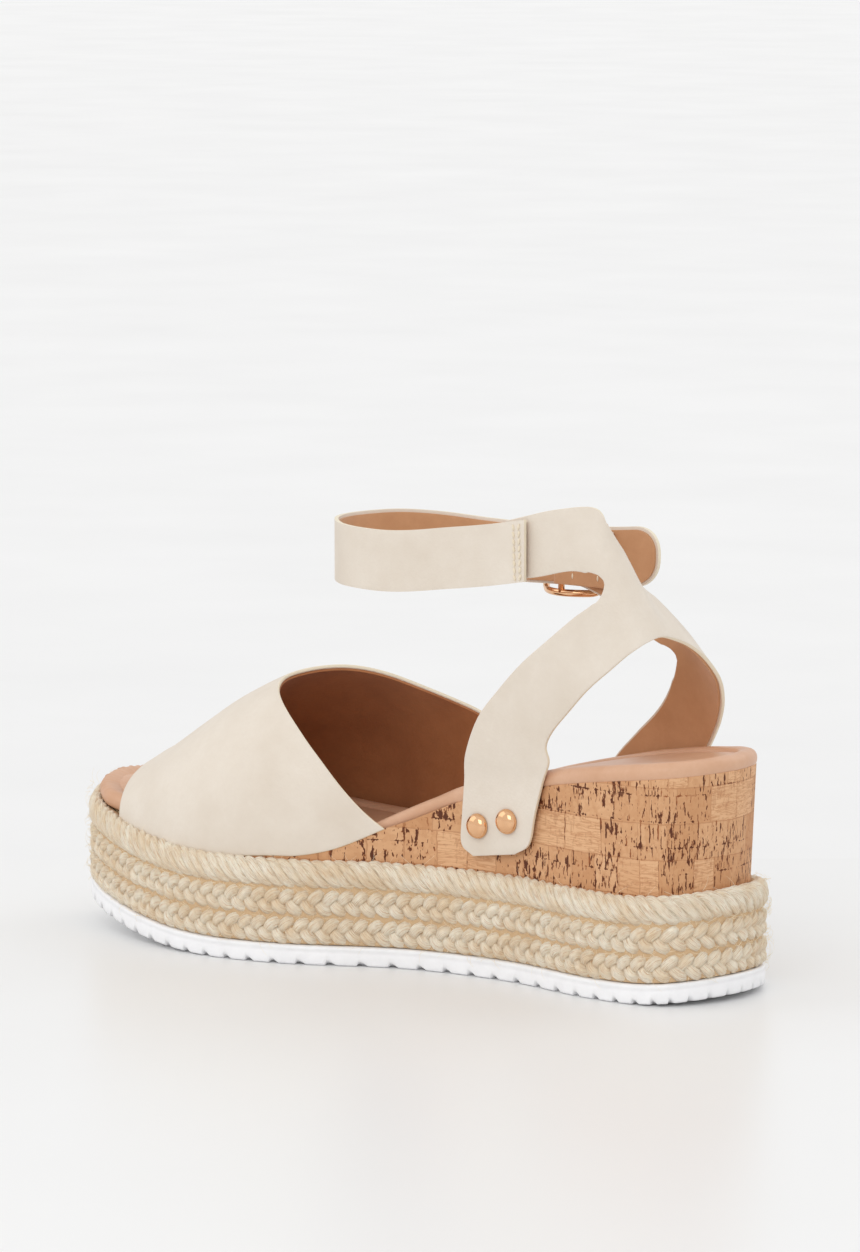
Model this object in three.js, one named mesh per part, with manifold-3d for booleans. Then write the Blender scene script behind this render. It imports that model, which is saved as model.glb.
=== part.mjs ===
// Wedge sandal with an ankle strap: cork-wrapped wedge on a platform bound with jute braid,
// a peep-toe vamp, a one-piece heel quarter and a buckled strap.
// Millimetres. Toe towards -X, heel towards +X, inner (medial) side of the foot towards -Y,
// outer (lateral) side towards +Y, sole standing on z = 0.
import * as THREE from 'three';
import { mergeVertices } from 'three/addons/utils/BufferGeometryUtils.js';
import Module from 'manifold-3d';

const wasm = await Module();
wasm.setup();

// ---------------------------------------------------------------- driving dimensions
const soleLength = 241;          // over the jute braid, toe to heel
const soleWidth = 92;            // over the jute braid, across the ball of the foot
const gap = 0.3;                 // air kept between pieces that touch
const outsoleThickness = 5.8;
const outsoleInset = 1;          // outsole edge inside the braid
const braidRows = 3;
const braidHeight = 8.1;         // one braid row
const braidDepth = 6;            // braid, from its face to the platform core
const toeSpring = 10.8;          // rise of the sole at 80 mm beyond the ball of the foot
const heelSpring = 2.2;          // rise of the sole at the back of the heel
const heelRise = 35.3;           // height of the cork wall at the heel
const corkInset = 4;             // cork wall inside the braid
const corkThickness = 1.2;
const rimHeight = 4.6;           // footbed, over all
const rimWidth = 5;              // padded roll round the footbed
const boardThickness = 1.2;
const foamThickness = 1.3;
const sockThickness = 0.8;
const outerLeather = 1;          // thickness of the face leather
const liningLeather = 0.7;       // thickness of the lining leather
const vampInset = 3.5;           // foot of the vamp inside the braid
const vampHeight = 49.7;         // crown of the vamp over the footbed
const vampFootGap = 0.5;         // foot of the vamp over the footbed's seat
const wallGap = 0.4;             // lining of the quarter to the cork
const strapWidth = 18;
const strapLift = 0;             // raises or lowers the whole ankle strap
const strapOverlap = 10;         // strap end stitched over the heel quarter
const holeSpacing = 11;          // adjusting holes
const holeRadius = 1.2;
const studRadius = 3.75;
const studHeight = 2.2;
const studShankRadius = 1;
const studShankLength = 11;
const studSpacing = 11.2;
const studSeat = 0.2;            // stud head to the face of its tab, over the gap
const lateralSetback = 14;       // outer tab further back than the inner one
const buckleLength = 25;
const buckleCorner = 3;
const buckleWire = 2.2;          // diameter of the frame wire
const buckleSideGap = 0.9;       // strap edge to the frame wire
const buckleSwingGap = 1.2;      // strap face to the frame's end bars
const barRadius = 1;
const prongWire = 1.8;
const stitchWire = 0.8;
const tabTail = 18;              // buckle tab, from the bar to the end of its fold
const tabMargin = 0.8;           // tab narrower than the strap at each edge

const layers = outerLeather + gap + liningLeather;
const platformTop = outsoleThickness + braidRows * (braidHeight + gap);
const bedFloor = platformTop + gap;
const lengthScale = soleLength / 241;
const widthScale = soleWidth / 92;
const drawnFloor = 31.3;         // heights of the rails below are drawn over this floor
const drawnRise = 35.3;          // and this heel rise,
const drawnLayers = 2;           // for leather and lining of this thickness together
const buckleHeight = strapWidth + 2 * (buckleSideGap + buckleWire);

// ---------------------------------------------------------------- shared curves
const v2 = (x, y) => new THREE.Vector2(x, y);
const v3 = (x, y, z) => new THREE.Vector3(x, y, z);
const lerp = THREE.MathUtils.lerp;
const clamp = THREE.MathUtils.clamp;
const smooth = THREE.MathUtils.smoothstep;

// Plan of the sole over the braid, from the toe along the inner side to the heel and back.
const planPoints = [
  [-120.5, -2], [-110.5, -25], [-84.5, -39], [-51.5, -46], [-19.5, -41], [14.5, -24.5],
  [49.5, -20.5], [84.5, -26], [111, -22], [120.5, 2], [111, 26], [84, 35], [49.5, 34.5],
  [15.5, 37], [-19.5, 42], [-52.5, 46], [-84.5, 41], [-110.5, 23],
].map(([x, y]) => v3(x * lengthScale, y * widthScale, 0));
const plan = new THREE.CatmullRomCurve3(planPoints, true, 'catmullrom', 0.5);

function planPoint(t, inset) {
  const along = ((t % 1) + 1) % 1;
  const point = plan.getPoint(along);
  const tangent = plan.getTangent(along);
  return v2(point.x - tangent.y * inset, point.y + tangent.x * inset);
}

// y of the plan's inner or outer edge at x; the plan runs from the toe (t = 0) to the heel (0.5).
function planEdge(x, inset, outerSide) {
  let low = 0;
  let high = 0.5;
  for (let step = 0; step < 30; step += 1) {
    const middle = (low + high) / 2;
    const point = planPoint(outerSide ? 1 - middle : middle, inset);
    if (point.x < x) low = middle;
    else high = middle;
  }
  return planPoint(outerSide ? 1 - low : low, inset).y;
}

const toeLift = (x) => toeSpring * Math.max(0, (-37.5 - x / lengthScale) / 80) ** 2;
const heelLift = (x) => heelSpring * Math.max(0, (x / lengthScale - 92.5) / 28) ** 2;
const ground = (x) => toeLift(x) + heelLift(x);

function interpolate(table, x) {
  const last = table.length - 1;
  if (x <= table[0][0]) return table[0][1];
  if (x >= table[last][0]) return table[last][1];
  const k = table.findIndex(([place]) => place > x) - 1;
  const slope = (i) => (i <= 0 || i >= last ? 0
    : (table[i + 1][1] - table[i - 1][1]) / (table[i + 1][0] - table[i - 1][0]));
  const width = table[k + 1][0] - table[k][0];
  const s = (x - table[k][0]) / width;
  const rise = table[k + 1][1] - table[k][1];
  const blend = s * s * (3 - 2 * s);
  return table[k][1] + rise * blend
    + width * (slope(k) * s * (1 - s) ** 2 - slope(k + 1) * s * s * (1 - s));
}

// Share of the heel rise along the foot: the surface that the footbed lies on.
const rise = [
  [-22, 0], [-15.8, 0.01], [-7.8, 0.062], [-1.8, 0.133], [7.1, 0.261], [18, 0.405],
  [31.2, 0.558], [63.4, 0.779], [81, 0.87], [98.3, 0.935], [111, 0.975], [124, 1],
];
const bed = (x) => bedFloor + heelRise * interpolate(rise, x / lengthScale) + toeLift(x);

// The footbed is narrower where the vamp's foot is lasted in beside it.
const rimStep = 0.2;             // footbed inside the cork wall
const bedInset = (x) => {
  const place = x / lengthScale;
  const beside = smooth(place, -104, -95) * (1 - smooth(place, 21, 33));
  return lerp(corkInset + rimStep, vampInset + layers + 3 * gap, beside);
};

// ---------------------------------------------------------------- mesh helpers
// Shares the vertices of a closed mesh, drops faces without area and turns the rest outwards.
function closed(geometry, tolerance = 1e-4) {
  const bare = geometry.clone();
  bare.deleteAttribute('normal');
  bare.deleteAttribute('uv');
  const merged = mergeVertices(bare, tolerance);
  const p = merged.attributes.position;
  const index = Array.from(merged.index.array);
  const [a, b, c] = [v3(), v3(), v3()];
  const kept = [];
  let volume = 0;
  for (let k = 0; k < index.length; k += 3) {
    const [i, j, l] = index.slice(k, k + 3);
    if (i !== j && j !== l && l !== i) {
      kept.push(i, j, l);
      a.fromBufferAttribute(p, i);
      b.fromBufferAttribute(p, j);
      c.fromBufferAttribute(p, l);
      volume += a.dot(b.cross(c));
    }
  }
  if (volume < 0) kept.reverse();
  merged.setIndex(kept);
  merged.computeVertexNormals();
  return merged;
}

function toSolid(geometry) {
  const body = closed(geometry);
  return new wasm.Manifold(new wasm.Mesh({
    numProp: 3,
    vertProperties: Float32Array.from(body.attributes.position.array),
    triVerts: Uint32Array.from(body.index.array),
  }));
}

function fromSolid(solid) {
  const mesh = solid.getMesh();
  const geometry = new THREE.BufferGeometry();
  geometry.setAttribute('position', new THREE.BufferAttribute(mesh.vertProperties, 3));
  geometry.setIndex(new THREE.BufferAttribute(mesh.triVerts, 1));
  return closed(geometry, 0.02);
}

const join = (first, ...others) => fromSolid(
  others.reduce((solid, next) => solid.add(toSolid(next)), toSolid(first)),
);
const cut = (first, ...tools) => fromSolid(
  tools.reduce((solid, next) => solid.subtract(toSolid(next)), toSolid(first)),
);

// A box of unit size whose vertices are carried to place(s, t, r), each from 0 to 1.
function bend(columns, rows, place) {
  const box = new THREE.BoxGeometry(1, 1, 1, columns, rows, 1);
  const p = box.attributes.position;
  for (let i = 0; i < p.count; i += 1) {
    const point = place(p.getX(i) + 0.5, p.getY(i) + 0.5, p.getZ(i) + 0.5);
    p.setXYZ(i, point.x, point.y, point.z);
  }
  return closed(box);
}

// A layer of the sole between two heights, with straight rulings across the foot.
function slab({ inset, from, to, low, high, roundEnds = true, stations = 44 }) {
  return bend(stations, 1, (s, t, r) => {
    const along = roundEnds ? (1 - Math.cos(Math.PI * s)) / 2 : Math.sin(Math.PI * s / 2);
    const x = lerp(from, to, along);
    const insetHere = inset(x);
    const y = lerp(planEdge(x, insetHere, false), planEdge(x, insetHere, true), t);
    return v3(x, y, r < 0.5 ? low(x) : high(x));
  });
}

// A closed ring along the plan: section points are [inset, height].
function ring(section, inset, base, count) {
  const torus = new THREE.TorusGeometry(2, 1, section.length, count);
  const { position, uv } = torus.attributes;
  for (let i = 0; i < position.count; i += 1) {
    const t = Math.round(uv.getX(i) * count) % count / count;
    const corner = section[Math.round(uv.getY(i) * section.length) % section.length];
    const edge = planPoint(t, 0);
    const point = planPoint(t, corner[0] + inset(edge.x));
    position.setXYZ(i, point.x, point.y, base(point.x) + corner[1]);
  }
  return closed(torus);
}

// A layer of leather on surface(u, v): from depth near to depth far along its inward normal.
function sheet(surface, near, far, columns, rows) {
  const step = 1e-3;
  return bend(columns, rows, (u, v, r) => {
    const [u0, u1] = [Math.max(0, u - step), Math.min(1, u + step)];
    const [w0, w1] = [Math.max(0, v - step), Math.min(1, v + step)];
    const alongU = surface(u1, v).sub(surface(u0, v));
    const alongV = surface(u, w1).sub(surface(u, w0));
    const inward = alongU.cross(alongV).normalize();
    return surface(u, v).addScaledVector(inward, lerp(near, far, r));
  });
}

// A ruled surface between two rails given as lists of points of equal length.
function between(firstRail, secondRail) {
  const first = new THREE.CatmullRomCurve3(firstRail, false, 'catmullrom', 0.5);
  const second = new THREE.CatmullRomCurve3(secondRail, false, 'catmullrom', 0.5);
  return (u, v) => first.getPoint(u).lerp(second.getPoint(u), v);
}

function rod(points, diameter, sides, steps) {
  const section = new THREE.Shape();
  section.absarc(0, 0, diameter / 2, 0, 2 * Math.PI);
  return new THREE.ExtrudeGeometry(section, {
    steps,
    curveSegments: sides,
    extrudePath: new THREE.CatmullRomCurve3(points, false, 'catmullrom', 0.5),
  });
}

function drill(x, y, z, radius, length) {
  return new THREE.CylinderGeometry(radius, radius, length, 12).translate(x, y, z);
}

// ---------------------------------------------------------------- sole
const toeEnd = (inset) => -soleLength / 2 + inset + 0.4;
const heelEnd = (inset) => soleLength / 2 - inset - 0.4;

function outsole() {
  return slab({
    inset: () => outsoleInset,
    from: toeEnd(outsoleInset),
    to: heelEnd(outsoleInset),
    low: ground,
    high: (x) => outsoleThickness + ground(x),
    stations: 56,
  });
}

function platformCore() {
  const inset = braidDepth + gap;
  return slab({
    inset: () => inset,
    from: toeEnd(inset),
    to: heelEnd(inset),
    low: (x) => outsoleThickness + gap + ground(x),
    high: (x) => platformTop - gap + ground(x),
  });
}

function braid(row) {
  const low = outsoleThickness + gap + row * (braidHeight + gap);
  const round = 2.2;
  const section = [
    [round, 0], [braidDepth, 0], [braidDepth, braidHeight], [round, braidHeight],
    [0.5, braidHeight - round * 0.6], [0, braidHeight / 2], [0.5, round * 0.6],
  ];
  return ring(section, () => 0, (x) => low + ground(x), 60);
}

const wedgeFront = -8 * lengthScale;
const wedgeBottom = (x) => bedFloor + ground(x);

function wedgeCore() {
  const inset = corkInset + corkThickness + gap;
  return slab({
    inset: () => inset,
    from: heelEnd(inset),
    to: wedgeFront,
    low: wedgeBottom,
    high: (x) => bed(x) - gap,
    roundEnds: false,
    stations: 34,
  });
}

function corkWrap() {
  const start = 4.4 / planPoints.length;
  return bend(48, 1, (s, t, r) => {
    const point = planPoint(lerp(start, 1 - start, s), corkInset + corkThickness * r);
    return v3(point.x, point.y, t < 0.5 ? wedgeBottom(point.x) : bed(point.x) - gap);
  });
}

// ---------------------------------------------------------------- footbed
const boardLow = gap;
const boardHigh = boardLow + boardThickness;
const foamLow = boardHigh + gap;
const foamHigh = foamLow + foamThickness;
const sockLow = foamHigh + gap;
const rollInset = 1;             // leather that turns down beside the board

function footbedLayer(inset, low, high) {
  return slab({
    inset: (x) => bedInset(x) + inset,
    from: toeEnd(bedInset(-soleLength) + inset),
    to: heelEnd(bedInset(soleLength) + inset),
    low: (x) => bed(x) + low,
    high: (x) => bed(x) + high,
    stations: 52,
  });
}

function footbedRim() {
  const section = [
    [0, boardLow], [rollInset, boardLow], [rollInset, foamLow], [rimWidth, foamLow],
    [rimWidth, rimHeight - 0.6], [rimWidth * 0.7, rimHeight], [1, rimHeight - 0.1],
    [0, rimHeight - 1],
  ];
  return ring(section, bedInset, bed, 72);
}

// ---------------------------------------------------------------- vamp
// Height of the vamp's crown over the footbed floor, as a share of vampHeight.
const crown = [
  [-110, 0.1], [-101, 0.32], [-89, 0.49], [-83, 0.56], [-70, 0.735], [-58, 0.885],
  [-40, 1.045], [-26, 1.095], [-10, 1.09], [10, 1.04], [30, 0.96],
];
// Front (peep) edge and throat edge: x at each angle round the foot, in degrees.
const peepEdge = [[0, -90.5], [45, -92.5], [90, -96], [135, -92.5], [180, -90.5]];
const throatEdge = [
  [-15, 16], [0, 7], [30, -12], [60, -36.5], [80, -44.6], [92, -43.5], [105, -36], [120, -20.5],
  [135, 2], [150, 11.5], [180, 19], [195, 24],
];

function vampSurface(u, v) {
  const degrees = 180 * v;
  const x = lerp(interpolate(peepEdge, degrees), interpolate(throatEdge, degrees), u) * lengthScale;
  const inner = planEdge(x, vampInset, false);
  const outer = planEdge(x, vampInset, true);
  const foot = bed(x) + vampFootGap;
  const top = bedFloor + vampHeight * interpolate(crown, x / lengthScale);
  const angle = Math.PI * v;
  return v3(
    x,
    (inner + outer) / 2 - (outer - inner) / 2 * Math.cos(angle),
    foot + (top - foot) * Math.sin(angle),
  );
}

// The surface's normal points out of the foot, so depths into the foot are negative.
const vampOuter = () => sheet(vampSurface, 0, -outerLeather, 18, 22);
const vampLining = () => sheet(vampSurface, -outerLeather - gap, -layers, 18, 22);

// ---------------------------------------------------------------- heel quarter
// Outer face of the quarter's tabs, which lie against the cork.
const innerWall = (x) => planEdge(x * lengthScale, corkInset, false) - layers - wallGap;
const outerWall = (x) => planEdge(x * lengthScale, corkInset, true) + layers + wallGap + 0.1;
// A point of the uppers: across the foot it follows the sole's width and stands out as the leather
// gets thicker, and in height it follows the cork wall up to the footbed and the heel above it.
const upper = (x, y, z) => v3(x, y * widthScale + clamp(y / 15, -1, 1) * (layers - drawnLayers), z);
const onInner = (x, z) => v3(x, innerWall(x), z);
const onOuter = (x, z) => v3(x, outerWall(x), z);
const raised = (z) => bedFloor + Math.max(0, z - drawnFloor - drawnRise)
  + heelRise * Math.min(1, (z - drawnFloor) / drawnRise);

// Front edge of the inner limb, over the notch and the crown, to the front edge of the outer limb.
const frontRail = [
  onInner(37, 35.6), onInner(32.8, 39), onInner(33, 47.3), onInner(33.8, 57.6),
  upper(35.6, -21, 66), upper(41, -22, 77.1), upper(49, -22.5, 86), upper(58, -22.9, 94.6),
  upper(67.5, -23, 102), upper(77, -22.5, 109.4), upper(84.5, -22, 114.7), upper(87.3, -21.4, 120),
  upper(87.8, -20.3, 130), upper(88.5, -16, 132), upper(89.7, -8, 119.6), upper(90, 0, 114),
  upper(89.8, 10, 106.7), upper(88.3, 20, 99.5), upper(82, 26, 98), upper(76.3, 28.6, 94),
  upper(72.3, 30, 84), upper(66.5, 31.4, 76.4), upper(57, 32.8, 68), onOuter(48.5, 59),
  onOuter(47, 50), onOuter(46.8, 41), onOuter(50.5, 36.8),
];
// Rear edge of the inner limb, the lower edge round the heel, the rear edge of the outer limb.
const rearRail = [
  onInner(52.7, 37.7), onInner(58.4, 41.3), onInner(60.9, 50.3), upper(63.9, -20.4, 60.1),
  upper(66.6, -21, 66.2), upper(65.8, -21.4, 70.8), upper(68.6, -21.8, 75.6), upper(74.5, -22.2, 81.6),
  upper(82, -22.4, 89), upper(89.5, -21.6, 95.2), upper(94.5, -20.4, 99.5), upper(97.9, -18.4, 102.3),
  upper(99.8, -15.4, 104), upper(101, -11.5, 105), upper(101.3, -6, 104), upper(101.1, 2, 101.2),
  upper(100.7, 10, 96.5), upper(99.2, 18.5, 89.5), upper(96, 24.5, 82.3), upper(91.5, 29, 75.5),
  upper(87, 32, 70), upper(83.6, 33.4, 65.4), onOuter(80.8, 60), onOuter(78, 54),
  onOuter(75.5, 48), onOuter(72.6, 41.5), onOuter(66.8, 37.4),
];
const seamZ = 126.8;             // middle of the seam between strap and inner tongue
const tongueHalf = strapWidth / 2 - 0.4;
const tongueLow = [
  upper(86.2, -21.7, 121.2), upper(84.2, -22, 122), upper(76, -22, 122.8),
  upper(62.5, -22, 119.9), upper(51, -21.5, seamZ - tongueHalf),
];
const tongueHigh = [
  upper(87, -20, 138.2), upper(82.2, -21, 141.6), upper(69.5, -22, 140),
  upper(58, -22, 137.2), upper(51, -21.5, seamZ + tongueHalf),
];
const barX = 30.6;               // the buckle's centre bar
const barY = 29.8 * widthScale + layers - drawnLayers;
const barZ = 118.9;
const tabBend = barRadius + gap; // inner radius of the fold round the bar
const tabFar = tabBend + outerLeather;
const tabLayerY = barY + layers / 2;
const outerTongueHigh = [
  upper(78, 28, 98.6), upper(71, 30, 101), upper(64.5, 30.8, 105.5),
  upper(57.5, 31, 111.5), upper(49.5, 31, 119), v3(barX + 10.9, tabLayerY, barZ + strapWidth / 2 - 2.3),
  v3(barX + 3.9, tabLayerY, barZ + strapWidth / 2 - 1),
];
const outerTongueLow = [
  upper(74, 29, 94.6), upper(68.5, 30.1, 95.8), upper(61.5, 30.8, 98.6),
  upper(54.5, 31, 102.8), upper(47.5, 31, 107), v3(barX + 8.9, tabLayerY, barZ - strapWidth / 2),
  v3(barX + 3.9, tabLayerY, barZ - strapWidth / 2 + 1),
];

const raise = (points) => points.map((p) => v3(p.x * lengthScale, p.y, raised(p.z)));
const band = between(raise(frontRail), raise(rearRail));
// The tongues spring from just inside the band's front edge, at these rail stations.
const rootDepth = 0.12;
const root = (station) => band(station / (frontRail.length - 1), rootDepth);
const innerTongue = between(
  [root(11.1), ...raise(tongueLow)],
  [root(12.8), ...raise(tongueHigh)],
);
const outerTongue = between(
  [root(17.5), ...raise(outerTongueHigh)],
  [root(19.2), ...raise(outerTongueLow)],
);

// Outer face of a tab between its straight edges.
const tabFace = (x, side) => (side < 0
  ? THREE.MathUtils.mapLinear(x, 33, 60, innerWall(33), innerWall(60))
  : THREE.MathUtils.mapLinear(x, 47, 75, outerWall(47), outerWall(75)));

const studPlaces = [
  { name: 'inner_front_stud', x: 39.5, z: 44.9, side: -1 },
  { name: 'inner_rear_stud', x: 39.5 + studSpacing, z: 47.4, side: -1 },
  { name: 'outer_front_stud', x: 39.5 + lateralSetback, z: 44.9, side: 1 },
  { name: 'outer_rear_stud', x: 39.5 + lateralSetback + studSpacing, z: 47.4, side: 1 },
].map((stud) => ({
  ...stud,
  x: stud.x * lengthScale,
  z: raised(stud.z),
  wall: tabFace(stud.x, stud.side) + stud.side * studSeat,
}));
const studBores = () => studPlaces.map((stud) => drill(
  stud.x, stud.wall - stud.side * studShankLength / 2, stud.z, studShankRadius + gap,
  studShankLength + 6,
));

const quarterLayer = (near, far) => join(
  sheet(band, near, far, 52, 3),
  sheet(innerTongue, near, far, 10, 3),
  sheet(outerTongue, near, far, 12, 2),
);
const quarterOuter = () => cut(quarterLayer(0, outerLeather), ...studBores());

// The lining also stays clear of the face leather where the tongues spring from the band.
const quarterLining = () => cut(
  quarterLayer(outerLeather + gap, layers),
  quarterLayer(-gap, outerLeather + gap),
  quarterLayer(0, outerLeather),
  ...studBores(),
);

function stud({ side }) {
  const head = studRadius;
  const profile = [v2(0, -studShankLength), v2(studShankRadius, -studShankLength)];
  profile.push(v2(studShankRadius, gap), v2(head, gap));
  for (let k = 1; k < 4; k += 1) {
    const angle = Math.PI / 2 * k / 4;
    profile.push(v2(head * Math.cos(angle), gap + studHeight * Math.sin(angle)));
  }
  profile.push(v2(0, gap + studHeight));
  const geometry = new THREE.LatheGeometry(profile, 16);
  return closed(side < 0 ? geometry.rotateX(Math.PI) : geometry);
}

// ---------------------------------------------------------------- ankle strap
// Middle of the strap's thickness and width, from the seam on the inner side round the ankle,
// through the buckle on the outer side, to the tip.
const seamY = -(22 * widthScale + layers - drawnLayers + layers / 2 + gap + 0.1);
const buckleY = barY + tabFar + gap + layers / 2 + 0.1;
const strapRoute = [
  v3(50.5 + strapOverlap, seamY, 127.7), v3(46, seamY - 0.2, 125.3), v3(30, seamY - 0.2, 123),
  v3(16, seamY + 0.4, 121.3), upper(2, -22, 120.4), upper(-12.5, -18.4, 120.6),
  upper(-23.1, -8.8, 120.9), upper(-27, 4.5, 121), upper(-23.1, 17.8, 121),
  upper(-12.5, 27.4, 120), v3(2, buckleY - 2.1, 118.8), v3(13, buckleY - 0.5, 118.4),
  v3(21, buckleY, 118.6), v3(barX, buckleY, barZ), v3(44, buckleY - 0.1, 119.2),
  v3(56, buckleY - 0.3, 120.2), v3(64.5, buckleY - 0.5, 121),
].map((p) => v3(p.x * lengthScale, p.y, raised(p.z) + strapLift));
const strapCurve = new THREE.CatmullRomCurve3(strapRoute, false, 'catmullrom', 0.5);
const strapTipLength = 9;

function strapSurface(u, v) {
  const point = strapCurve.getPointAt(u);
  const fromTip = strapCurve.getLength() * (1 - u);
  const round = clamp(1 - fromTip / strapTipLength, 0, 1);
  const half = strapWidth / 2 * Math.max(0.3, Math.sqrt(1 - round * round));
  return v3(point.x, point.y, point.z + lerp(half, -half, v));
}

// The prong as offsets from the bar's axis: from its eye through the strap to the front end bar.
const eyeRadius = barRadius + gap + prongWire / 2 - 0.2;
const buckleArch = buckleY - barY + layers / 2 + buckleWire / 2 + buckleSwingGap;
const prongTop = buckleArch + buckleWire / 2 + prongWire / 2 + 0.6;
const prongRoute = [
  [-0.6 * eyeRadius, 0.75 * eyeRadius], [-2.7, 3.2], [-4.4, 5.8], [-8, prongTop - 0.7],
  [-11.6, prongTop], [-14.8, prongTop - 0.3],
].map(([x, y]) => v3(barX * lengthScale + x, barY + y, raised(barZ)));

const strapTilt = 0.11;          // the strap's free end rises towards the back

function strapHoles() {
  const z = raised(barZ);
  const prongX = barX * lengthScale - 2.8;
  const slot = [-1.9, -0.6, 0.7, 2].map((shift) => drill(prongX + shift, buckleY, z, 1.5, 8));
  const spare = [-3, -2, -1, 1].map((k) => {
    const x = prongX + k * holeSpacing;
    const climb = k > 0 ? strapTilt * (x - prongX) : 0;
    return drill(x, buckleY, z + strapLift + climb, holeRadius, 8);
  });
  return [...slot, ...spare];
}

const strap = (near, far) => cut(sheet(strapSurface, near, far, 60, 2), ...strapHoles());

function seamStitch(row) {
  const x = (47 + strapOverlap - row * 3) * lengthScale;
  const y = seamY - layers / 2 - gap - stitchWire / 2 - 0.15;
  const middle = raised(126.9) + strapLift - row * 0.5;
  const half = strapWidth / 2 - 2;
  return rod([v3(x + 0.6, y, middle - half), v3(x, y, middle), v3(x - 0.6, y, middle + half)],
    stitchWire, 3, 6);
}

// ---------------------------------------------------------------- buckle
function buckleFrame() {
  const halfX = (buckleLength - buckleWire) / 2;
  const halfZ = (buckleHeight - buckleWire) / 2;
  const corner = buckleCorner;
  const outline = new THREE.Shape();
  outline.absarc(halfX - corner, halfZ - corner, corner, 0, Math.PI / 2);
  outline.absarc(corner - halfX, halfZ - corner, corner, Math.PI / 2, Math.PI);
  outline.absarc(corner - halfX, corner - halfZ, corner, Math.PI, 1.5 * Math.PI);
  outline.absarc(halfX - corner, corner - halfZ, corner, 1.5 * Math.PI, 2 * Math.PI);
  outline.closePath();
  const count = 40;
  const sides = 6;
  const route = outline.getSpacedPoints(count).slice(0, count);
  const wire = new THREE.TorusGeometry(2, 1, sides, count);
  const { position, uv } = wire.attributes;
  for (let i = 0; i < position.count; i += 1) {
    const k = Math.round(uv.getX(i) * count) % count;
    const angle = 2 * Math.PI * (Math.round(uv.getY(i) * sides) % sides) / sides;
    const ahead = route[(k + 1) % count].clone().sub(route[(k + count - 1) % count]).normalize();
    const side = Math.cos(angle) * buckleWire / 2;
    const x = route[k].x + ahead.y * side;
    const z = route[k].y - ahead.x * side;
    const y = buckleArch * (route[k].x / halfX) ** 2 + Math.sin(angle) * buckleWire / 2;
    position.setXYZ(i, x, y, z);
  }
  const bar = new THREE.CylinderGeometry(barRadius, barRadius, 2 * halfZ, 16).rotateX(Math.PI / 2);
  return join(wire, bar);
}

function buckleProng() {
  const eye = new THREE.TorusGeometry(eyeRadius, prongWire / 2 - 0.2, 8, 20)
    .translate(barX * lengthScale, barY, raised(barZ));
  return join(eye, rod(prongRoute, prongWire, 4, 14));
}

function buckleTab() {
  const height = strapWidth - 2 * tabMargin;
  const x = barX * lengthScale;
  const tail = x + tabTail;
  const fold = new THREE.Shape();
  fold.moveTo(tail, barY - tabFar);
  fold.lineTo(x, barY - tabFar);
  fold.absarc(x, barY, tabFar, -Math.PI / 2, Math.PI / 2, true);
  fold.lineTo(tail, barY + tabFar);
  fold.lineTo(tail, barY + tabBend);
  fold.absarc(x, barY, tabBend, Math.PI / 2, -Math.PI / 2, false);
  fold.lineTo(tail, barY - tabBend);
  const strip = new THREE.ExtrudeGeometry(fold, { depth: height, bevelEnabled: false, curveSegments: 10 });
  strip.translate(0, 0, raised(barZ) - height / 2);
  const slot = new THREE.BoxGeometry(9, 12, prongWire + 1.6).translate(x - 0.8, barY, raised(barZ));
  return cut(strip, slot);
}

// ---------------------------------------------------------------- assembly
const finish = {
  rubber: { color: 0xf0f0f2, roughness: 0.35, metalness: 0 },
  foam: { color: 0xe6dfd0, roughness: 0.9, metalness: 0 },
  jute: { color: 0xd8c8a4, roughness: 0.95, metalness: 0 },
  cork: { color: 0xd9a873, roughness: 0.8, metalness: 0 },
  board: { color: 0xb79a72, roughness: 0.9, metalness: 0 },
  tan: { color: 0xcd9f80, roughness: 0.5, metalness: 0 },
  cream: { color: 0xe2dbce, roughness: 0.6, metalness: 0 },
  lining: { color: 0xc49468, roughness: 0.7, metalness: 0 },
  brown: { color: 0x8a5a3c, roughness: 0.7, metalness: 0 },
  thread: { color: 0xe9e2d2, roughness: 0.9, metalness: 0 },
  metal: { color: 0xd9a270, roughness: 0.25, metalness: 1 },
};

const sandal = new THREE.Group();

function add(name, geometry, kind, place = v3(0, 0, 0)) {
  const mesh = new THREE.Mesh(closed(geometry), new THREE.MeshStandardMaterial(finish[kind]));
  mesh.name = name;
  mesh.position.copy(place);
  sandal.add(mesh);
}

add('outsole', outsole(), 'rubber');
add('platform_core', platformCore(), 'foam');
['lower', 'middle', 'upper'].slice(0, braidRows).forEach((level, row) => {
  add(`jute_braid_${level}`, braid(row), 'jute');
});
add('wedge_core', cut(wedgeCore(), ...studBores()), 'foam');
add('cork_wrap', cut(corkWrap(), ...studBores()), 'cork');
add('insole_board', footbedLayer(rollInset + gap, boardLow, boardHigh), 'board');
add('footbed_foam', footbedLayer(rimWidth + gap, foamLow, foamHigh), 'foam');
add('sock_lining', footbedLayer(rimWidth + gap, sockLow, sockLow + sockThickness), 'tan');
add('footbed_rim', footbedRim(), 'tan');
add('vamp_outer', vampOuter(), 'cream');
add('vamp_lining', vampLining(), 'brown');
add('quarter_outer', quarterOuter(), 'cream');
add('quarter_lining', quarterLining(), 'lining');
add('ankle_strap_outer', strap(layers / 2 - outerLeather, layers / 2), 'cream');
add('ankle_strap_lining', strap(-layers / 2, liningLeather - layers / 2), 'lining');
add('seam_stitch_rear', seamStitch(0), 'thread');
add('seam_stitch_front', seamStitch(1), 'thread');
studPlaces.forEach((place) => {
  add(place.name, stud(place), 'metal', v3(place.x, place.wall, place.z));
});
add('buckle_tab', buckleTab(), 'cream');
add('buckle_frame', buckleFrame(), 'metal', v3(barX * lengthScale, barY, raised(barZ)));
add('buckle_prong', buckleProng(), 'metal');

export default sandal;
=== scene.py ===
import math
import random

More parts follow.
